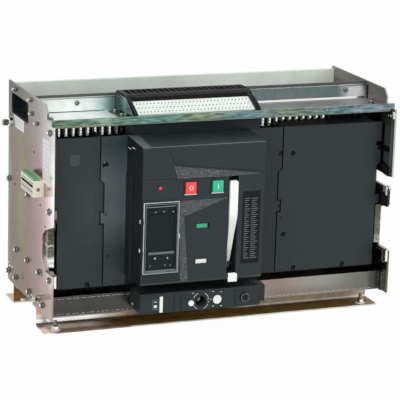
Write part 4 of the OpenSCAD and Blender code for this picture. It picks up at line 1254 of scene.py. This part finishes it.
class BREAKER_OT_terminal_details(Operator):
    """Wire entries in painted shade, dividers and screws of the auxiliary terminals"""

    bl_idname = "breaker.terminal_details"
    bl_label = "Auxiliary terminal details"

    def execute(self, context):
        low, high = reach("auxiliary_terminal_strip")
        # painted shade: dark patches that stand for the wire entries
        shape = Shape("painted_shade")
        for k in range(TERMINALS):
            x = low.x + 6 + TERMINAL_PITCH * (k + 0.35)
            for along in (9, 23.5, 38):
                slope_bar(shape, x - 1, x + 1, along - 1.7, along + 1.7, 0.25)
        shape.use("grey_mark")
        for k in range(TERMINALS):
            for along in (16.2, 30.8):
                at = on_slope(low.x + 6 + TERMINAL_PITCH * (k + 0.85), along)
                shape.rod(at, SLOPE_NORMAL, 0.8, 0.3, 0.1, 8)
        shape.use("terminal_white")
        for along in (3.2, 45.5):
            slope_bar(shape, low.x + 1, high.x - 1, along - 1, along + 1, 0.8, 0.2)
        shape.use("housing")
        for x0, x1 in ((low.x - 5.5, low.x + 0.5), (high.x - 0.5, high.x + 12)):
            shape.prism([(x0, *corner) for corner in CHEEK], (x1 - x0, 0, 0), 0.8, 1)
        for k in range(22):
            x = low.x + 6 + 13 * k
            for near, far in ((92, 97), (102, 140)):
                shape.block((x, near, HOUSING_TOP - 0.6), (x + 9, far, HOUSING_TOP), 0.3, 1)
        shape.made("auxiliary_wire_entries", "cradle", "white_plastic")
        return {"FINISHED"}


class BREAKER_OT_side_terminals(Operator):
    """Wire entries and seams in painted shade, and screws of the side terminal block"""

    bl_idname = "breaker.side_terminals"
    bl_label = "Side terminal details"

    def execute(self, context):
        low, high = reach("side_terminal_block")
        # painted shade: dark patches for the wire entries and dark seam lines
        shape = Shape("painted_shade")
        step = (high.y - low.y - 10) / SIDE_POSTS
        posts = [low.y + 5 + step * (k + 0.5) for k in range(SIDE_POSTS)]
        for back in posts:
            shape.block((low.x - 0.3, back - 2.4, high.z - 16), (low.x + 0.1, back + 2.4, high.z - 11))
            seam = back + step / 2
            shape.block((low.x - 0.25, seam - 0.3, low.z + 2), (low.x + 0.1, seam + 0.3, high.z - 10))
        shape.use("bolt")
        for back in posts:
            shape.rod((low.x, back, low.z + 10), -OUT, 1.9, 0.4, 0.1, 12)
        shape.pan_screw((low.x + 10, low.y, low.z + 17), IN_FRONT, 3.2, 1.6)
        shape.made("side_terminal_entries", "cradle", "cream_plastic")
        return {"FINISHED"}


class BREAKER_OT_channel_details(Operator):
    """Screws and bolts of the top channel, with painted highlight lines along the rear wall's top edge and
    foot and a painted shade line along its left foot
    """

    bl_idname = "breaker.channel_details"
    bl_label = "Channel details"

    def execute(self, context):
        low, high = reach("top_channel")
        wall = high.y - 3
        shape = Shape("bolt")
        for x, back, z, axis, radius, height in (
            (-299, wall, 487, IN_FRONT, 5.0, 2.6), (345, wall, 488, IN_FRONT, 5.0, 2.6),
            (233, low.y, 475, IN_FRONT, 3.4, 1.0), (83, 62, 496, OUT, 3.5, 1.4),
        ):
            shape.pan_screw((x, back, z), axis, radius, height)
        for at, flats, washer in (
            *(((x, back, 471), 7.0, 6.0) for x in (-223, 92) for back in (78, 122)),
            *(((x, 90, 468), 10.0, 7.5) for x in (-380, 380)),
        ):
            shape.bolt(at, UP, flats, washer)
        # painted highlight along the rear wall's top edge, and along its foot on the right
        shape.use("shine").block((-395.8, wall - 0.3, 496.6), (395.8, wall + 0.1, 499.4), 0.2, 1)
        bend = ((wall + 0.1, 472), (wall - 2.6, 467.9), (wall + 0.1, 467.9))
        shape.prism([(100, *corner) for corner in bend], (295.8, 0, 0))
        # painted shade along the wall's foot on the left
        shape.use("painted_shade").block((-395.8, wall - 0.25, 468.1), (-236, wall + 0.1, 469.4))
        shape.made("channel_screws_and_painted_lines", "cradle", "steel")
        return {"FINISHED"}


# Lengths and gaps that a fold's broken painted highlight runs through, in turn
DASHES, GAPS = (5.0, 7.5, 3.5, 9.0, 4.5), (5.5, 3.5, 7.0)


class BREAKER_OT_rail_bends(Operator):
    """Painted highlight along the front rail's fold and broken painted highlights along the crossbar's folds
    """

    bl_idname = "breaker.rail_bends"
    bl_label = "Rail fold highlights"

    def execute(self, context):
        web = 112.05
        shape = Shape("rail_bend")
        # painted highlight along the web's fold
        fold = ((web, 15.5), (web - 1.05, 7.0), (web, 6.6))
        shape.prism([(-399.8, *corner) for corner in fold], (215, 0, 0))
        shape.made("front_rail_fold_highlight", "cradle", "steel")

        front = reach("front_crossbar")[0].y
        # painted highlight: broken white lines along the crossbar's folds
        shape = Shape("mark")
        for x, end in ((-392, -216), (104, 372)):
            two_folds = x < 0
            k = 0
            while x < end:
                dash = DASHES[k % len(DASHES)]
                shape.tiles(front - 0.12, front + 0.1, 0, [(x, 52.2, min(x + dash, end), 52.7)])
                if two_folds:
                    shape.tiles(front - 0.15, front + 0.4, 0, [(x, 86.5, min(x + dash + 2, end), 86.95)])
                x += dash + GAPS[k % len(GAPS)]
                k += 1
        shape.made("crossbar_fold_highlights", "cradle", "steel")
        return {"FINISHED"}


class BREAKER_OT_base_bolts(Operator):
    """Floor bolts with their washers in the base rails, and the bolts of the bottom pan"""

    bl_idname = "breaker.base_bolts"
    bl_label = "Base bolts"

    def execute(self, context):
        shape = Shape("bolt")
        for x in (-370, 365):
            at = Vector((x, 66, 3))
            shape.use("mark").ring(at, UP, 11.0, 4.4, 1.6, 0.4)
            shape.use("shine").hexagon(at + UP * 1.6, UP, 15, 9.0)
            shape.use("bolt").thread(at, UP, 4.2, 22.0)
            # painted shade: a dark ring round the thread
            shape.use("painted_shade").ring(at + UP * 10.4, UP, 6.0, 4.0, 0.6, 0.2)
            shape.use("shine").rod(at + UP * 19, UP, 3.6, 3.4, 1.0)
        shape.made("base_bolts", "cradle", "steel")

        shape = Shape("bolt")
        for x in (36 - INNER, INNER - 36):
            for back in (60, 150, 240):
                shape.bolt((x, back, 47), UP, 10.0, 7.5)
        shape.made("pan_bolts", "cradle", "steel")
        return {"FINISHED"}


# Rows of arc pegs: the first one's x, how many, and how many of them have three steps
PEG_ROWS = ((-356.6, 14, 14), (-106.6, 14, 14), (118.8, 10, 3))
PEG_PITCH, PEG_STEP, PEG_TOP = 16.4, 6.4, 446.5


class BREAKER_OT_peg_bars(Operator):
    """Stepped pegs and cross bars in front of the arc chutes, and the chutes' vent grids with slots in
    painted shade
    """

    bl_idname = "breaker.peg_bars"
    bl_label = "Arc chute details"

    def execute(self, context):
        low = reach("arc_chute_ribs")[0]
        shape = Shape("shine")
        for first, count, stepped in PEG_ROWS:
            for k in range(count):
                profile = [(0, 0), (3.0, 0)]
                for step in range(3 if k < stepped else 1):
                    rise = PEG_STEP * step
                    profile += [(4.6, 0.8 + rise), (3.4, 6.4 + rise)]
                profile += [(0, profile[-1][1] + 1.6)]
                foot = PEG_TOP - profile[-1][1]
                shape.turned((first + PEG_PITCH * k, low.y - 0.6, foot), UP, profile, 6)
        shape.use("peg").tiles(low.y + 5, low.y + 6.6, 0.3, [
            (x0, z - 0.8, x1, z + 0.8) for x0, x1 in ((-352, -240), (118, 365)) for z in (446, 452)])
        shape.made("peg_bars", "breaker", "cream_plastic")

        shape = Shape("jet")
        top = reach("arc_chutes")[1].z
        for middle in (-250, 0, 250):
            for back in (124, 164, 204):
                shape.use("jet")
                shape.block((middle - 112, back, top), (middle + 112, back + 34, top + 1.2), 0.4, 1)
                # painted shade: dark slots of the vent grids
                shape.use("painted_shade")
                for k in range(18):
                    x = middle - 105 + 12.0 * k
                    shape.block((x - 3.6, back + 4, top + 1.1), (x + 3.6, back + 30, top + 1.5))
        shape.made("arc_chute_vents", "breaker", "jet_plastic")
        return {"FINISHED"}


class BREAKER_OT_rear_details(Operator):
    """Collars, bolts and ribs of the rear wall"""

    bl_idname = "breaker.rear_details"
    bl_label = "Rear details"

    def execute(self, context):
        back = reach("rear_wall")[1].y
        shape = Shape("wall")
        for x in (-250, 0, 250):
            for z in (350, 190):
                shape.tiles(back - 0.5, back + 9, 1.0, [
                    (x - 92, z - 22, x + 92, z - 12), (x - 92, z + 12, x + 92, z + 22),
                    (x - 92, z - 12, x - 81.5, z + 12), (x + 81.5, z - 12, x + 92, z + 12)], 2)
        shape.tiles(back - 0.5, back + 12, 1.2, [(x - 4, 70, x + 4, 480) for x in (-385, -125, 125, 385)], 2)
        shape.tiles(back - 0.5, back + 6, 0.8, [(-381, z - 2.5, 381, z + 2.5) for z in (120, 270, 430)], 2)
        shape.made("rear_wall_ribs", "cradle", "grey_smc")

        shape = Shape("bolt")
        for x in (-340, -160, -90, 90, 160, 340):
            for z in range(70, 471, 80):
                shape.bolt((x, back, z), BEHIND, 10.0, 7.5)
        shape.made("rear_wall_bolts", "cradle", "steel")
        return {"FINISHED"}


# Slots of the right guide, drawn as painted shade, as (back, height)
GUIDE_SLOTS = [
    [(7, 376.5), (9, 371.5), (14, 369.5), (34, 369.5), (38, 372), (38, 381), (34, 383.5), (14, 383.5),
     (9, 381.5)],
    [(12, 330), (15, 338), (22, 343.5), (31, 345.5), (39, 344), (39, 340), (31, 341), (24, 339.5),
     (18, 335), (15, 329)],
]
LATCH = [(375.5, 376), (377, 372), (380, 370), (385.5, 370), (385.5, 383), (380, 383), (377, 380.5)]


class BREAKER_OT_plate_extras(Operator):
    """Small studs, clips and guide details beside the plates' front edges, with painted shade in the guide's
    slots, the latch and the gap at the channel's end
    """

    bl_idname = "breaker.plate_extras"
    bl_label = "Plate edge details"

    def execute(self, context):
        shape = Shape("bolt")
        for back, z in ((58, 126), (42, 125.5), (26, 125)):
            for side in (-1, 1):
                shape.pan_screw((side * (INNER - 1.9), back, z), -OUT * side, 3.0, 0.9)
        for finish, low, high, soft, steps in (
            ("bolt", (-INNER, 0, 271), (6 - INNER, 2.5, 290), 0.5, 1),
            ("white", (390, 9, 271), (392.5, 16, 290), 0.8, 2),
            ("grey_mark", (390, 17, 276), (392.2, 30, 290), 0.8, 2),
            ("mark", (392.5, 0.5, 449), (396, 6, 464.8), 0.5, 1),
            # painted shadow: the dark gap between the channel's end and the right plate
            ("painted_shade", (395.7, 141, 468), (396, 150, 500), 0, 1),
        ):
            shape.use(finish).block(low, high, soft, steps)
        for outline in GUIDE_SLOTS:
            shape.prism([(391.05, *corner) for corner in outline], (-0.3, 0, 0))
        for back in (4, 14):
            shape.bolt((390, back, 456), -OUT, 5.5, 4.2)
        shape.made("plate_edge_fittings", "cradle", "steel")

        # painted shade: a dark oval that stands for the latch's recess
        shape = Shape("painted_shade")
        shape.plaque(LATCH, PANEL - 0.3, 0.4, 0.1)
        shape.made("latch_recess_painted_shade", "breaker", "jet_plastic")
        return {"FINISHED"}


class BREAKER_OT_stage(Operator):
    """Floor, studio light and camera"""

    bl_idname = "breaker.stage"
    bl_label = "Stage"

    def execute(self, context):
        settings = context.scene.stage_settings
        context.scene.view_settings.view_transform = "Standard"
        build_floor()
        build_studio(context.scene, settings)
        context.scene.camera = build_camera(settings)
        return {"FINISHED"}


# How white the floor looks to the rays that see it directly, and how far it reaches
FLOOR_GLOW = 0.97
FLOOR_REACH = 12.0
WHITE = (1, 1, 1, 1)
LAMP_SIZE = 2.0
LAMP_TARGET = Vector((0, 0, 0.25))
CAMERA_TARGET = Vector((-0.06619, PLATE_FRONT, 0.29293))


def seen_directly(wires):
    """1 for rays that should see the white studio: camera, mirror and glass rays."""
    rays = wires.add("ShaderNodeLightPath").outputs
    seen = wires.math("MAXIMUM", rays["Is Camera Ray"], rays["Is Glossy Ray"])
    return wires.math("MAXIMUM", seen, rays["Is Transmission Ray"])


def blended(wires, kind, share, one, two):
    """Mixes two surfaces and sends them to the output."""
    mixed = wires.add("ShaderNodeMixShader", {0: share, 1: one.outputs[0], 2: two.outputs[0]})
    wires.add(kind, {"Surface": mixed.outputs[0]})


def build_floor():
    """A matt white floor that shines where it is seen directly."""
    mesh = bpy.data.meshes.new("floor")
    corners = [(x * FLOOR_REACH, y * FLOOR_REACH, 0) for x, y in ((-1, -1), (1, -1), (1, 1), (-1, 1))]
    mesh.from_pydata(corners, [], [(0, 1, 2, 3)])
    paint = bpy.data.materials.new("studio_floor")
    paint.use_nodes = True
    paint.node_tree.nodes.clear()
    wires = Wiring(paint.node_tree)
    matt = wires.add("ShaderNodeBsdfDiffuse", {"Color": (0.88, 0.88, 0.88, 1)})
    glow = wires.add("ShaderNodeEmission", {"Color": WHITE, "Strength": 1.0})
    share = wires.math("MULTIPLY", seen_directly(wires), FLOOR_GLOW)
    blended(wires, "ShaderNodeOutputMaterial", share, matt, glow)
    mesh.materials.append(paint)
    placed("floor", mesh)


def build_studio(scene, settings):
    """Even light all round that looks white, and two soft lamps."""
    world = bpy.data.worlds.new("studio")
    scene.world = world
    world.use_nodes = True
    world.node_tree.nodes.clear()
    wires = Wiring(world.node_tree)
    even, white = (
        wires.add("ShaderNodeBackground", {"Color": WHITE, "Strength": strength})
        for strength in (settings.room_light, 1.0)
    )
    blended(wires, "ShaderNodeOutputWorld", seen_directly(wires), even, white)
    for name, place, power in (
        ("key_lamp", (-2.4, -3.2, 2.6), settings.key_power),
        ("fill_lamp", (3.0, -2.6, 1.8), settings.fill_power),
    ):
        lamp = bpy.data.lights.new(name, "AREA")
        lamp.energy = power
        lamp.size = LAMP_SIZE
        holder = placed(name, lamp)
        holder.location = place
        holder.rotation_euler = (LAMP_TARGET - Vector(place)).to_track_quat("-Z", "Y").to_euler()
        holder.visible_transmission = False


def build_camera(settings):
    """The camera, turned about its target."""
    a, e, r = settings.azimuth, settings.elevation, settings.roll
    away = Vector((math.sin(a) * math.cos(e), -math.cos(a) * math.cos(e), math.sin(e)))
    right = Vector((math.cos(a), math.sin(a), 0))
    up = away.cross(right)
    x_axis = math.cos(r) * right + math.sin(r) * up
    y_axis = -math.sin(r) * right + math.cos(r) * up
    camera = bpy.data.cameras.new("camera")
    camera.sensor_width = 36.0
    camera.lens = settings.lens
    camera.clip_end = 100.0
    holder = placed("camera", camera)
    turn = Matrix((x_axis, y_axis, away)).transposed().to_4x4()
    holder.matrix_world = Matrix.Translation(CAMERA_TARGET + away * settings.distance) @ turn
    return holder


class BREAKER_PT_sidebar(Panel):
    """Lists the steps that build the breaker's looks"""

    bl_idname = "BREAKER_PT_sidebar"
    bl_label = "Breaker"
    bl_space_type = "VIEW_3D"
    bl_region_type = "UI"
    bl_category = "Breaker"

    def draw(self, context):
        column = self.layout.column(align=True)
        for step in STEPS:
            column.operator(step.bl_idname)


SETTINGS = {
    "finish_colours": FinishColours,
    "fastener_sizes": FastenerSizes,
    "stage_settings": StageSettings,
}
STEPS = (
    BREAKER_OT_finishes,
    BREAKER_OT_plate_fasteners,
    BREAKER_OT_labels,
    BREAKER_OT_control_details,
    BREAKER_OT_button_caps,
    BREAKER_OT_trip_details,
    BREAKER_OT_cover_details,
    BREAKER_OT_racking_details,
    BREAKER_OT_terminal_details,
    BREAKER_OT_side_terminals,
    BREAKER_OT_channel_details,
    BREAKER_OT_rail_bends,
    BREAKER_OT_base_bolts,
    BREAKER_OT_peg_bars,
    BREAKER_OT_rear_details,
    BREAKER_OT_plate_extras,
    BREAKER_OT_stage,
)
CLASSES = (*SETTINGS.values(), *STEPS, BREAKER_PT_sidebar)


def register():
    for kind in CLASSES:
        bpy.utils.register_class(kind)
    for name, kind in SETTINGS.items():
        setattr(bpy.types.Scene, name, PointerProperty(type=kind))


def unregister():
    for name in SETTINGS:
        delattr(bpy.types.Scene, name)
    for kind in reversed(CLASSES):
        bpy.utils.unregister_class(kind)


def main():
    register()
    for step in STEPS:
        family, name = step.bl_idname.split(".")
        getattr(getattr(bpy.ops, family), name)()


if __name__ == "__main__":
    main()
